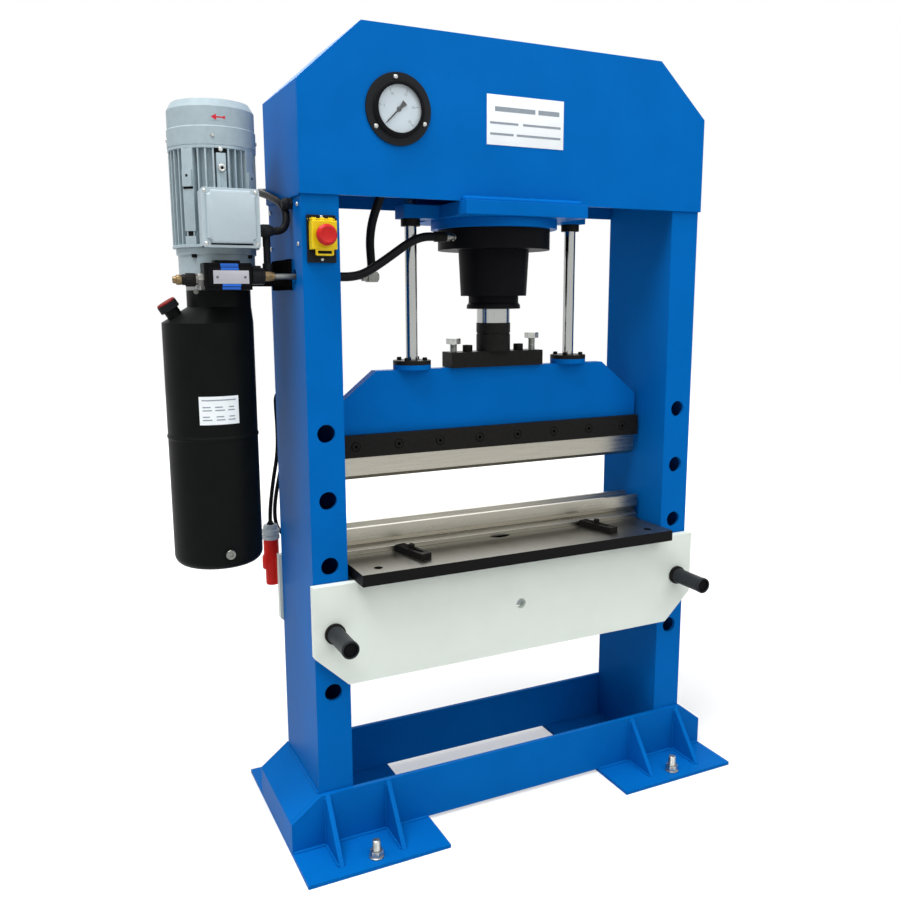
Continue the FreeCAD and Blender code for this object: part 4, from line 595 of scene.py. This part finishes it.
def hex_head(work, base, axis, flats, height, rim=0.8):
    """Adds a hexagon head whose corners are rounded off at its outer face."""
    square = [flats / 2 / math.cos((math.tau * step / 24 + math.pi / 6) % (math.pi / 3) - math.pi / 6)
              for step in range(24)]
    rounded = [min(reach, flats / math.sqrt(3) * 0.93) for reach in square]
    skin(work, [ring_round(work, base, axis, lift, reaches)
                for lift, reaches in ((0, square), (height - rim, square), (height, rounded))])


flange_bolts = bmesh.new()
for degrees in (-135, -45, 45, 135):
    place = Vector((MOTOR_X, MOTOR_Y, 1188)) + outward_at(degrees) * 71.5
    turn(flange_bolts, [(5.6, 0), (5.6, 1)], place, (0, 0, -1), 20)
    hex_head(flange_bolts, place - Vector((0, 0, 1)), (0, 0, -1), 9, 5)
solid("motor_flange_bolts", flange_bolts, black_and_painted_shade)
motor_bolts = bmesh.new()
for degrees in (-100, -10, 80, 170):
    outward = outward_at(degrees)
    turn(motor_bolts, [(3.6, 0), (3.6, 0.7), (2.8, 1.9), (1, 2.2), (0.8, 1.4), (0, 1.4)],
         Vector((MOTOR_X, MOTOR_Y, 1395)) + outward * 80.3, outward, 18)
for z in (1203.5, 1293.5):
    for x in (-623.5, -533.5):
        turn(motor_bolts, [(3.4, -1), (3.4, 0.6), (2.6, 1.4), (1, 1.7), (0.8, 1), (0, 1)], (x, -92, z),
             (0, -1, 0), 18)
solid("motor_screws", motor_bolts, zinc_plate)

lid_panel = bmesh.new()
LID_X, LID_Z, LID_HALF_WIDTH, LID_HALF_HEIGHT = -578.5, 1250.25, 43.5, 45.75
outline = []
for side_x, side_z in ((-1, -1), (1, -1), (1, 1), (-1, 1)):
    corner = [(side_x * (LID_HALF_WIDTH - in_x), side_z * (LID_HALF_HEIGHT - in_z))
              for in_x, in_z in ((0, 8), (4.4, 6.8), (6.8, 4.4), (8, 0))]
    outline += corner if side_x == side_z else corner[::-1]
skin(lid_panel, [[lid_panel.verts.new((LID_X + x * (1 - inset / 44), y, LID_Z + z * (1 - inset / 44)))
                  for x, z in outline]
                 for inset, y in ((0, -91.5), (0.4, -96.2), (1.6, -97.8), (3.6, -98.6))])
solid("terminal_lid_panel", lid_panel, lid_grey, sharp=25)

# A dark seal sheet behind the lid, and a dark bar under the raised panel: a painted shadow along its lower
# edge.
lid_seal_and_shadow = bmesh.new()
bar(lid_seal_and_shadow, (-629.4, -86.4, 1197.6), (-527.6, -84.4, 1299.4), 0)
bar(lid_seal_and_shadow, (-616, -92.5, 1201.6), (-541, -91.5, 1204.2), 0)
solid("terminal_lid_seal_and_shadow", lid_seal_and_shadow, black_and_painted_shade)


def wrapped(work, centre, radius, degrees, columns, lift=0.3):
    """Adds a thin sheet bent round an upright cylinder: each column is its place along, low and high z."""
    rings = []
    for along, low, high in columns:
        outward = outward_at(degrees + math.degrees(along / radius))
        rings.append([work.verts.new(Vector((*centre, z)) + outward * reach) for reach, z in (
            (radius, low), (radius + lift, low), (radius + lift, high), (radius, high))])
    skin(work, rings)


COWL_RADIUS, ARROW_MIDDLE = 79, -91
arrow_patch = bmesh.new()
wrapped(arrow_patch, (MOTOR_X, MOTOR_Y), COWL_RADIUS, ARROW_MIDDLE,
        [(step * 4 - 16, 1421, 1433) for step in range(9)])
solid("turning_arrow_patch", arrow_patch, cowl_silver)
arrow = bmesh.new()
wrapped(arrow, (MOTOR_X, MOTOR_Y), COWL_RADIUS, ARROW_MIDDLE,
        [(-13, 1426.9, 1427.1), (-9, 1424.2, 1429.8), (-4, 1421.8, 1432.2)]
        + [(step * 4 - 4, 1425.9, 1428.1) for step in range(4)] + [(8, 1424.6, 1429.4), (12, 1424.6, 1429.4)],
        0.5)
solid("turning_arrow", arrow, arrow_red)

# ------------ Valve block
# The cast aluminium manifold under the motor carries a black directional valve, screwed to its nose,
# with a plain aluminium tag on its front, and the relief valve at its left end.
cast_aluminium = finish("cast_aluminium", (0.25, 0.255, 0.255), 0.85, 0.48, mottle=0.10, grain=220,
                        relief=0.0004)
tag_aluminium = finish("tag_aluminium", (0.37, 0.375, 0.41), 0.6, 0.36, mottle=0.03, grain=300,
                       stretch=(0.05, 1, 1))
tag_blue = finish("tag_blue", (0.012, 0.13, 0.60), 0, 0.40, mottle=0.03, grain=60)
oxide_black = finish("oxide_black", (0.010, 0.0095, 0.009), 0, 0.46, mottle=0.18, grain=140, relief=0.0002,
                     shine=0.06)
bracket_black = finish("bracket_black", (0.006, 0.006, 0.0065), 0, 0.6, mottle=0.1, grain=40, shine=0.0)
brass = finish("brass", (0.165, 0.118, 0.062), 1, 0.40, mottle=0.12, grain=150)
dressed(cast_aluminium, 1.0, "manifold")
dressed(gloss_black, 1.6, "valve_body")
dressed(bracket_black, 0.8, "unit_bracket")
dressed(gloss_black, 0, "oil_pump")
VALVE_LEFT, VALVE_RIGHT, VALVE_FRONT, PORT_Y, PORT_Z = -628, -542, -78, -59, 1148
LOCK_NUT_X, ADJUSTER_X, RELIEF_Z = -641, -665.3, 1141

valve_ends = bmesh.new()
bar(valve_ends, (-622, -81.5, 1129), (-547, -77, 1163), 2.2)
for z in (1127, 1167):
    for x in (-624, -546):
        turn(valve_ends, [(3, 0), (3, 0.8), (2, 0.9), (1.8, 0.3), (0, 0.3)], (x, VALVE_FRONT, z), (0, -1, 0),
             16)
bar(valve_ends, (-608, -74, 1170), (-562, -44, 1176), 2.0)
solid("valve_cover", valve_ends, gloss_black)

valve_tag = bmesh.new()
bar(valve_tag, (-613, -82.3, 1134), (-549, -81.2, 1157.5), 0.3)
solid("valve_tag", valve_tag, tag_aluminium)
valve_blue = bmesh.new()
bar(valve_blue, (-599, -81.9, 1158), (-567, -81.0, 1162.6), 0.2)
bar(valve_blue, (-599, -78.6, 1163.5), (-567, -77.6, 1170), 0.2)
bar(valve_blue, (-597, -78.6, 1123.8), (-564, -77.6, 1129), 0.2)
bar(valve_blue, (-597, -81.9, 1129.6), (-564, -81.0, 1133.6), 0.2)
solid("valve_blue_fields", valve_blue, tag_blue)
valve_screws = bmesh.new()
for x in (-606, -556):
    turn(valve_screws, [(2.4, 0), (2.4, 0.5), (1.6, 1.2), (0, 1.3)], (x, -82.3, 1145.7), (0, -1, 0), 16)
turn(valve_screws, [(4.4, 0), (4.4, 3), (3.8, 3.8), (2.4, 4), (2, 2), (0, 2)], (-640, -56, 1120), (0, -1, 0),
     20)
solid("valve_screws", valve_screws, pin_steel)


def ribbed(work, base, axis, radius, length, count, depth=0.8, edge=1.0):
    """Adds a round piece with ribs along its side, for fingers to hold."""
    ribs = [radius - depth, radius - depth, radius, radius] * count
    skin(work, [ring_round(work, base, axis, height, [reach * share for reach in ribs])
                for height, share in ((0, 0.93), (edge, 1), (length - edge, 1), (length, 0.93))])


solenoid = bmesh.new()
turn(solenoid, [(12, 0), (12, 2), (15.5, 2.4), (15.5, 17), (14.5, 18), (14.5, 19.5), (15.5, 20.5),
                (15.5, 24.5), (14, 26), (5, 26)], (VALVE_RIGHT, PORT_Y, PORT_Z), (1, 0, 0), 48)
bar(solenoid, (-539, PORT_Y - 9, PORT_Z + 12), (-523, PORT_Y + 9, PORT_Z + 19), 1.2)
solenoid = solid("solenoid_coil", solenoid, moulded_black)
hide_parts("solenoid")

relief_hex = bmesh.new()
hex_head(relief_hex, (VALVE_LEFT, PORT_Y, RELIEF_Z), (-1, 0, 0), 22, 9)
turn(relief_hex, [(9, 9), (9, 13), (4.1, 13)], (VALVE_LEFT, PORT_Y, RELIEF_Z), (-1, 0, 0), 32)
relief_hex = solid("relief_hexagon", relief_hex, pin_steel)
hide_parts("relief_valve")
relief_nut = bmesh.new()
ribbed(relief_nut, (LOCK_NUT_X, PORT_Y, RELIEF_Z), (-1, 0, 0), 12, 17, 18)
turn(relief_nut, [(9.5, 17), (9.5, 22), (8.5, 24), (4.2, 24)], (LOCK_NUT_X, PORT_Y, RELIEF_Z), (-1, 0, 0), 32)
solid("relief_lock_nut", relief_nut, oxide_black)
relief_head = bmesh.new()
ribbed(relief_head, (ADJUSTER_X, PORT_Y, RELIEF_Z), (-1, 0, 0), 9, 9, 14, 0.6)
turn(relief_head, [(6.5, 9), (6.5, 13), (5.5, 15), (2.4, 15), (2, 12.5), (0, 12.5)],
     (ADJUSTER_X, PORT_Y, RELIEF_Z), (-1, 0, 0), 28)
turn(relief_head, [(4, 0), (4, 23.5), (3.4, 24)], (ADJUSTER_X, PORT_Y, RELIEF_Z), (1, 0, 0), 20)
relief_head = solid("relief_adjuster", relief_head, brass, "relief_knob")
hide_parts("relief_screw")

# ------------ Hose fittings and glands
# A brass nut and a steel pipe take the oil from the valve through the column to the pressure hose.
# The hoses end in pressed steel crimps; the gauge hose stands on a steel elbow. The cables' glands are
# moulded, with a hexagon and a domed nut.
plated_steel = finish("plated_steel", (0.17, 0.175, 0.16), 1, 0.36, mottle=0.10, grain=160)
PIPE_Y, PIPE_Z = 10, 1150
CYLINDER_PORT, GAUGE_ENTRY = (-133, -40, 1230), Vector((-268, -90, 1384))


def crimp(work, base, axis, radius, length):
    """Adds a hose's pressed end: a sleeve with rings pressed into it."""
    profile = [(radius - 2, 0), (radius - 0.6, 0.3), (radius, 1)]
    count = int(length / 4.5)
    for step in range(1, count):
        place = length * step / count
        profile += [(radius, place - 1), (radius - 0.8, place - 0.5), (radius - 0.8, place + 0.5),
                    (radius, place + 1)]
    profile += [(radius, length - 1), (radius - 0.8, length), (4, length)]
    turn(work, profile, base, axis, 40)


pipe_nut = bmesh.new()
hex_head(pipe_nut, (-516, PORT_Y, PORT_Z), (1, 0, 0), 17, 14)
turn(pipe_nut, [(7.6, 14), (7.6, 19), (6.6, 20), (5.8, 20)], (-516, PORT_Y, PORT_Z), (1, 0, 0), 32)
pipe_nut = solid("pipe_nut", pipe_nut, brass)
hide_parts("hose_fittings")
steel_lines = bmesh.new()
turn(steel_lines, [(5.7, -4), (5.7, 70)], (-496, PORT_Y, PORT_Z), (1, 0, 0), 32)
turn(steel_lines, [(5.7, 0), (5.7, 134.6)], (-422, PIPE_Y, PIPE_Z), (1, 0, 0), 32)
bar(steel_lines, (-287.5, PIPE_Y - 10.5, PIPE_Z - 10.5), (-266.5, PIPE_Y + 10.5, PIPE_Z + 10.5), 1.5)
turn(steel_lines, [(8.2, 0), (8.2, 3), (7, 4)], (-266.5, PIPE_Y, PIPE_Z), (1, 0, 0), 24)
hex_head(steel_lines, (-287.5, PIPE_Y, PIPE_Z), (-1, 0, 0), 17, 10)
turn(steel_lines, [(8.5, 0), (8.5, 8), (6, 9), (6, 16), (8, 17), (8, 20)], CYLINDER_PORT, (1, 0, 0), 32)
solid("steel_pipes", steel_lines, plated_steel)
brass_bits = bmesh.new()
hex_head(brass_bits, CYLINDER_PORT, (1, 0, 0), 15, 7)
stub = (GAUGE_ENTRY - Vector((-269, -87, 1362))).normalized()
hex_head(brass_bits, GAUGE_ENTRY + stub * 4, stub, 11, 8)
turn(brass_bits, [(5, 0), (5, 17), (4.4, 17.4)], GAUGE_ENTRY, stub, 24)
solid("brass_unions", brass_bits, brass)
crimps = bmesh.new()
crimp(crimps, (-400, PORT_Y, PORT_Z), (-1, 0, 0), 10.5, 26)
crimp(crimps, (-159, -40, 1230), (1, 0, 0), 10.5, 26)
crimp(crimps, (-277, PIPE_Y, 1174), Vector((-277, PIPE_Y, 1174)) - Vector((-280, 6.5, 1198)), 9.5, 18)
solid("hose_crimps", crimps, oxide_black)

glands = bmesh.new()
turn(glands, [(11.5, 0), (11.5, 4)], (-530, -62, 1230), (1, 0, 0), 32)
for place, axis, flats, thick, radius, length, edge, dome in (
        ((-526, -62, 1230), (1, 0, 0), 21.5, 8, 12, 15, 2.0, [(10.5, 15), (8.2, 21), (7.2, 22), (6.4, 22)]),
        ((-350, 121, 1330), (0, 1, 0), 21.5, 6, 12, 9, 1.0, [(10.5, 9), (8.2, 12), (7, 12)]),
        ((-458, -55, 1281), (-1, 0, 0), 20, 5, 11, 10, 2.0, [(9.5, 10), (7.4, 13), (0, 14)])):
    nut = Vector(place) + Vector(axis) * thick
    hex_head(glands, place, axis, flats, thick)
    ribbed(glands, nut, axis, radius, length, 14, 0.7, edge)
    turn(glands, dome, nut, axis, 32)
glands = solid("conduit_glands", glands, moulded_black)
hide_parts("cable_glands")
solenoid_plug = bmesh.new()
turn(solenoid_plug, [(6.5, 0), (6.5, 52), (7.2, 53), (7.2, 74)], (-506, -48, 1150), (0, 0, 1), 24)
ribbed(solenoid_plug, (-506, -48, 1152), (0, 0, 1), 9, 20, 12, 0.6)
solid("solenoid_plug", solenoid_plug, moulded_black)

# ------------ Oil tank
# A deep-drawn steel tank, powder-coated semi-gloss black, with a rolled bead, a drain plug and a white
# paper label whose print is left as plain grey bars. A ribbed breather cap screws on its leaning neck.
tank_black = finish("tank_black", (0.005, 0.0058, 0.0055), 0, 0.42, mottle=0.12, grain=25, relief=0.0003,
                    shine=0.04)
cap_red = finish("cap_red", (0.19, 0.016, 0.014), 0, 0.5, grain=90, shine=0.08)
dressed(tank_black, 0, "tank")
TANK_X, TANK_Y = -605, 34
LABEL_RADIUS, LABEL_MIDDLE = 85.6, -93
label = bmesh.new()
wrapped(label, (TANK_X, TANK_Y), LABEL_RADIUS, LABEL_MIDDLE,
        [(step * 5 - 35, 875, 928) for step in range(16)])
solid("tank_label", label, white_enamel)
label_bars = bmesh.new()
for z, spans in ((921, ((-30, 34),)), (908, ((-29, -14), (-6, 8), (20, 30))),
                 (902, ((-29, -12), (-6, 12), (18, 31))), (890, ((-29, -16), (-4, 10), (20, 31))),
                 (884, ((-29, -12), (-4, 12), (18, 32)))):
    for low, high in spans:
        count = max(2, int((high - low) / 5))
        wrapped(label_bars, (TANK_X, TANK_Y), LABEL_RADIUS + 0.2, LABEL_MIDDLE,
                [(low + (high - low) * step / count, z - 1.1, z + 1.1) for step in range(count + 1)])
solid("tank_label_bars", label_bars, print_grey)

turned("drain_plug", plated_steel, [(9.5, 0), (9.5, 3), (8.5, 4.4), (4, 4.8), (3.6, 2.4), (0, 2.4)],
       (-600, -55, 623), (0, -1, 0), 32)

CAP_LEAN = math.radians(32)
CAP_AXIS = Vector((-math.sin(CAP_LEAN), 0, math.cos(CAP_LEAN)))
CAP_SKIRT = Vector((-656, 24, 1058)) + CAP_AXIS * 34.5
cap_skirt = bmesh.new()
ribbed(cap_skirt, CAP_SKIRT, CAP_AXIS, 19, 14.5, 24, 0.9)
cap_skirt = solid("cap_skirt", cap_skirt, moulded_black, "cap")
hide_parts("filler_cap")
turned("cap_top", cap_red,
       [(16, 13), (18.4, 14.3), (18.4, 16), (16.5, 17.8), (13, 18), (12.5, 17.4), (0, 17.4)], CAP_SKIRT,
       CAP_AXIS, 48, body="cap")

# ------------ Cylinder
# A turned steel cylinder sprayed satin black, hung from its welded blue flange. Its rod is hard
# chromed, and so are the two rods that guide the ram through black bushes.
cylinder_black = finish("cylinder_black", (0.005, 0.005, 0.006), 0, 0.46, mottle=0.12, grain=40,
                        relief=0.0002, shine=0.03)
hard_chrome = finish("hard_chrome", (0.41, 0.42, 0.405), 1, 0.16, mottle=0.03, grain=300, stretch=(1, 1, 0.1))
dressed(cylinder_black, 1.0, "cylinder_barrel")
dressed(cylinder_black, 0.6, "gland_ring")
dressed(hard_chrome, 0, "piston_rod", "guide_rods")
dressed(oxide_black, 0.6, "guide_bushes")
gland_trim = bmesh.new()
turn(gland_trim, [(56, 1083.6), (58.6, 1084.4), (58.6, 1086), (56, 1087)], sides=64)
for step in range(6):
    turn(gland_trim, [(3.4, 0), (3.4, 0.8), (1.8, 0.9), (1.6, 0.2), (0, 0.2)],
         Vector((0, 0, 1085)) + outward_at(step * 60 + 30) * 47, (0, 0, -1), 16)
solid("gland_trim", gland_trim, oxide_black)

# ------------ Ram
# The ram is a blue plate 26 mm thick. A black-oxide bar and eight socket screws clamp the ground blade
# to it; a black base block, two socket screws and two proud zinc hexagon bolts tie it to the rod.
ground_steel = finish("ground_steel", (0.33, 0.315, 0.27), 1, 0.30, grain=240, stretch=(0.04, 1, 1),
                      relief=0.00002, streak=0.25)
dressed(frame_blue, 1.0, "ram_plate")
dressed(oxide_black, 0.8, "blade_holder_bar", "ram_base_block", "guide_flanges")
dressed(ground_steel, 0.3, "bending_blade")
BLOCK_TOP, HOLDER_FRONT, SCREW_ROW = 993, -28, 808


def socket_head(work, base, axis, radius, height, key):
    """Adds a socket head: ribbed side, bevelled rim and a hexagon recess for the key."""
    recess = [key / 2 / math.cos(math.tau * step / 48 % (math.pi / 3) - math.pi / 6) for step in range(48)]
    sections = ((radius * 0.94, 0, 0), (radius, 0.5, 0.35), (radius, height - 1.4, 0.35),
                (radius - 0.2, height - 0.9, 0), (radius - 1.0, height, 0))
    rings = [ring_round(work, base, axis, lift, [reach, reach - rib] * 24) for reach, lift, rib in sections]
    skin(work, rings + [ring_round(work, base, axis, lift, recess) for lift in (height, height * 0.45)])


black_screws = bmesh.new()
for step in range(8):
    socket_head(black_screws, (step * 95 - 332.5, HOLDER_FRONT + 11, SCREW_ROW), (0, -1, 0), 9, 12, 7)
for x in (-63, 63):
    socket_head(black_screws, (x, 0, BLOCK_TOP), (0, 0, 1), 10.8, 14, 9)
for x in (-194, 194):
    for degrees in (45, 135, 225, 315):
        socket_head(black_screws, Vector((x, 0, 979)) + outward_at(degrees) * 29, (0, 0, 1), 5, 6, 4.4)
black_screws = solid("ram_socket_screws", black_screws, oxide_black, "ram")
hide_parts("ram_screws")
zinc_bolts = bmesh.new()
for x, lift in ((-97, 17), (97, 26)):
    thread = []
    for step in range(int(lift / 2)):
        thread += [(8, step * 2), (7.1, step * 2 + 1)]
    turn(zinc_bolts, thread + [(7.6, lift), (5, lift)], (x, 0, BLOCK_TOP), sides=32)
    turn(zinc_bolts, [(12.6, 0), (12.6, 0.6)], (x, 0, BLOCK_TOP + lift - 0.4), sides=40)
    hex_head(zinc_bolts, (x, 0, BLOCK_TOP + lift), (0, 0, 1), 27, 12, 1.6)
solid("ram_hexagon_bolts", zinc_bolts, zinc_plate, "ram")

# ------------ Bed and its pins
# Two steel side plates, joined by ties and sprayed off-white, hang on two pins through the columns.
# Each pin is blackened steel, with a collar and a black tube grip.
bed_white = finish("bed_white", (0.71, 0.77, 0.71), 0, 0.42, mottle=0.02, grain=14, relief=0.0003, shine=0.1)
dressed(bed_white, 1.4, "bed_plates")
dressed(bed_white, 0.8, "bed_ties")
grip_black = finish("grip_black", (0.020, 0.023, 0.026), 0, 0.38, mottle=0.10, grain=90, relief=0.0002,
                    shine=0.12)
dressed(grip_black, 0, "bed_pin_left", "bed_pin_right")
PIN_X, PIN_Z = 422, 460
for side, body in ((-1, "left_bed_pin"), (1, "right_bed_pin")):
    turned(f"{body}_grip", grip_black,
           [(16, 0), (17.6, 0.6), (17.6, 4), (17.0, 5), (17.0, 78), (17.6, 80), (17.6, 86), (16.8, 87.2),
            (15.3, 87.2), (14.6, 86.2), (14.2, 81.4), (0, 81.2)], (side * PIN_X, -141.3, PIN_Z), (0, -1, 0),
            56, body=body)
    # Painted shade: a dark lining in the recess at the grip's end.
    turned(f"{body}_grip_recess_painted_shade", black_and_painted_shade,
           [(14.3, 0), (14.5, 4.2), (14.2, 4.2), (14.0, 0.2), (0, 0.1)], (side * PIN_X, -222.6, PIN_Z),
           (0, -1, 0), 48, body=body)
    turned(f"{body}_collar", oxide_black,
           [(17.8, -0.1), (20.6, 0.2), (21, 1), (21, 7), (20.4, 8), (17.8, 8.2)],
           (side * PIN_X, -133.3, PIN_Z), (0, -1, 0), 56, body=body)

# ------------ Table, die and clamps
# The table is flame-cut plate, blackened at its edges and ground bright on top. On it stand the ground
# four-sided V-die and two slotted clamp bars, each held by one black socket screw.
table_finish = finish("table_finish", (0.205, 0.20, 0.176), 1, 0.36, grain=200, stretch=(1, 0.05, 1),
                      streak=0.25)
tree = table_finish.node_tree
black_edge = add_node(tree, "BsdfPrincipled", {
    "Base Color": (0.006, 0.006, 0.006, 1), "Roughness": 0.45, "Specular IOR Level": 0.05})
surface = add_node(tree, "TexCoord")
parts = add_node(tree, "SeparateXYZ", {"Vector": surface.outputs["Normal"]})
is_top = add_node(tree, "Math", {0: parts.outputs["Z"], 1: 0.6}, "GREATER_THAN")
both = add_node(tree, "MixShader", {
    "Fac": is_top.outputs["Value"], 1: black_edge.outputs["BSDF"],
    2: tree.nodes["Principled BSDF"].outputs["BSDF"]})
tree.links.new(both.outputs["Shader"], tree.nodes["Material Output"].inputs["Surface"])
dressed(table_finish, 1.2, "table_plate")
dressed(ground_steel, 0.5, "v_die")
dressed(oxide_black, 0.8, "die_clamp_left", "die_clamp_right")
CLAMP_SCREW_Y = -79.93
clamp_screws = bmesh.new()
for x in (-234, 229):
    turn(clamp_screws, [(4, 582), (4, 595.3), (8.4, 595.4), (8.4, 596.6), (6, 596.8)], (x, CLAMP_SCREW_Y, 0),
         sides=32)
    socket_head(clamp_screws, (x, CLAMP_SCREW_Y, 596.6), (0, 0, 1), 6.6, 8, 6)
clamp_screws = solid("clamp_screws", clamp_screws, oxide_black)
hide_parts("clamp_bolts")

# ------------ Anchor bolts
# Zinc-plated M16 steel anchors hold the four corners of the feet to the floor, each with a washer and
# a nut.
anchors = bmesh.new()
for x in (-371, 371):
    for y in (-206, 206):
        turn(anchors, [(8.5, 8), (14.2, 8), (15, 8.6), (15, 10.6), (14.4, 11), (8.5, 11)], (x, y, 0),
             sides=40)
        hex_head(anchors, (x, y, 11), (0, 0, 1), 24, 13, 1.2)
        thread = [(7, 0)]
        for height in range(0, 44, 2):
            thread += [(8, height), (7.2, height + 1)]
        turn(anchors, thread + [(7.6, 44), (6.2, 45), (0, 45)], (x, y, 0), sides=32)
anchors = solid("floor_anchors", anchors, zinc_plate)
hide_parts("anchor_bolts")

# ------------ Floor and light
# A bare white studio: a matt floor that takes the soft shadow, three large soft lamps and pale
# surroundings.
floor_white = bpy.data.materials.new("floor_white")
floor_white.use_nodes = True
tree = floor_white.node_tree
paper = tree.nodes["Principled BSDF"]
paper.inputs["Base Color"].default_value = (0.62, 0.62, 0.62, 1)
paper.inputs["Roughness"].default_value = 0.9
floor_mesh = bpy.data.meshes.new("studio_floor")
floor_mesh.from_pydata([(-9, -9, 0), (9, -9, 0), (9, 9, 0), (-9, 9, 0)], [], [(0, 1, 2, 3)])
floor_mesh.materials.append(floor_white)
studio_floor = bpy.data.objects.new("studio_floor", floor_mesh)
bpy.context.collection.objects.link(studio_floor)


def linked_to_view(tree):
    """Gives 1 for what the camera sees, straight on or in a mirror or a glass, and 0 for light."""
    rays = add_node(tree, "LightPath")
    seen = rays.outputs["Is Camera Ray"]
    for kind in ("Is Glossy Ray", "Is Transmission Ray"):
        seen = add_node(tree, "Math", {0: seen, 1: rays.outputs[kind]}, "MAXIMUM").outputs["Value"]
    return seen


spot = add_node(tree, "TexCoord")
reach = add_node(tree, "VectorMath", {0: spot.outputs["Object"]}, "LENGTH")
far_off = add_node(tree, "MapRange", {
    "From Min": 0.9, "From Max": 4.5, "To Min": 0.38, "To Max": 0.76, "Value": reach.outputs["Value"]})
scaled = add_node(tree, "Math", {0: linked_to_view(tree), 1: far_off.outputs["Result"]}, "MULTIPLY")
glow = add_node(tree, "Emission", {"Color": (1, 1, 1, 1), "Strength": scaled.outputs["Value"]})
together = add_node(tree, "AddShader", {0: paper.outputs["BSDF"], 1: glow.outputs["Emission"]})
tree.links.new(together.outputs["Shader"], tree.nodes["Material Output"].inputs["Surface"])

world = bpy.data.worlds.new("studio")
world.use_nodes = True
bpy.context.scene.world = world
sky = world.node_tree.nodes["Background"]
sky.inputs["Color"].default_value = (1, 1, 1, 1)
level_of_sky = add_node(world.node_tree, "MapRange", {
    "To Min": 0.42, "To Max": 1.0, "Value": linked_to_view(world.node_tree)})
world.node_tree.links.new(level_of_sky.outputs["Result"], sky.inputs["Strength"])


def soft_lamp(name, place, aim, width, power):
    """A square soft lamp at a place, turned to what it lights."""
    light = bpy.data.lights.new(name, "AREA")
    light.size = width
    light.energy = power
    lamp = bpy.data.objects.new(name, light)
    lamp.location = place
    lamp.rotation_euler = (Vector(aim) - Vector(place)).to_track_quat("-Z", "Y").to_euler()
    bpy.context.collection.objects.link(lamp)


soft_lamp("front_lamp", (1.0, -3.0, 3.4), (0, 0, 0.9), 3.4, 72)
soft_lamp("top_lamp", (-2.0, -0.9, 5.8), (0, 0, 0.5), 3.0, 370)
soft_lamp("back_lamp", (1.2, 4.0, 3.0), (0, 0, 0.9), 3.0, 60)
bpy.context.scene.view_settings.view_transform = "Standard"
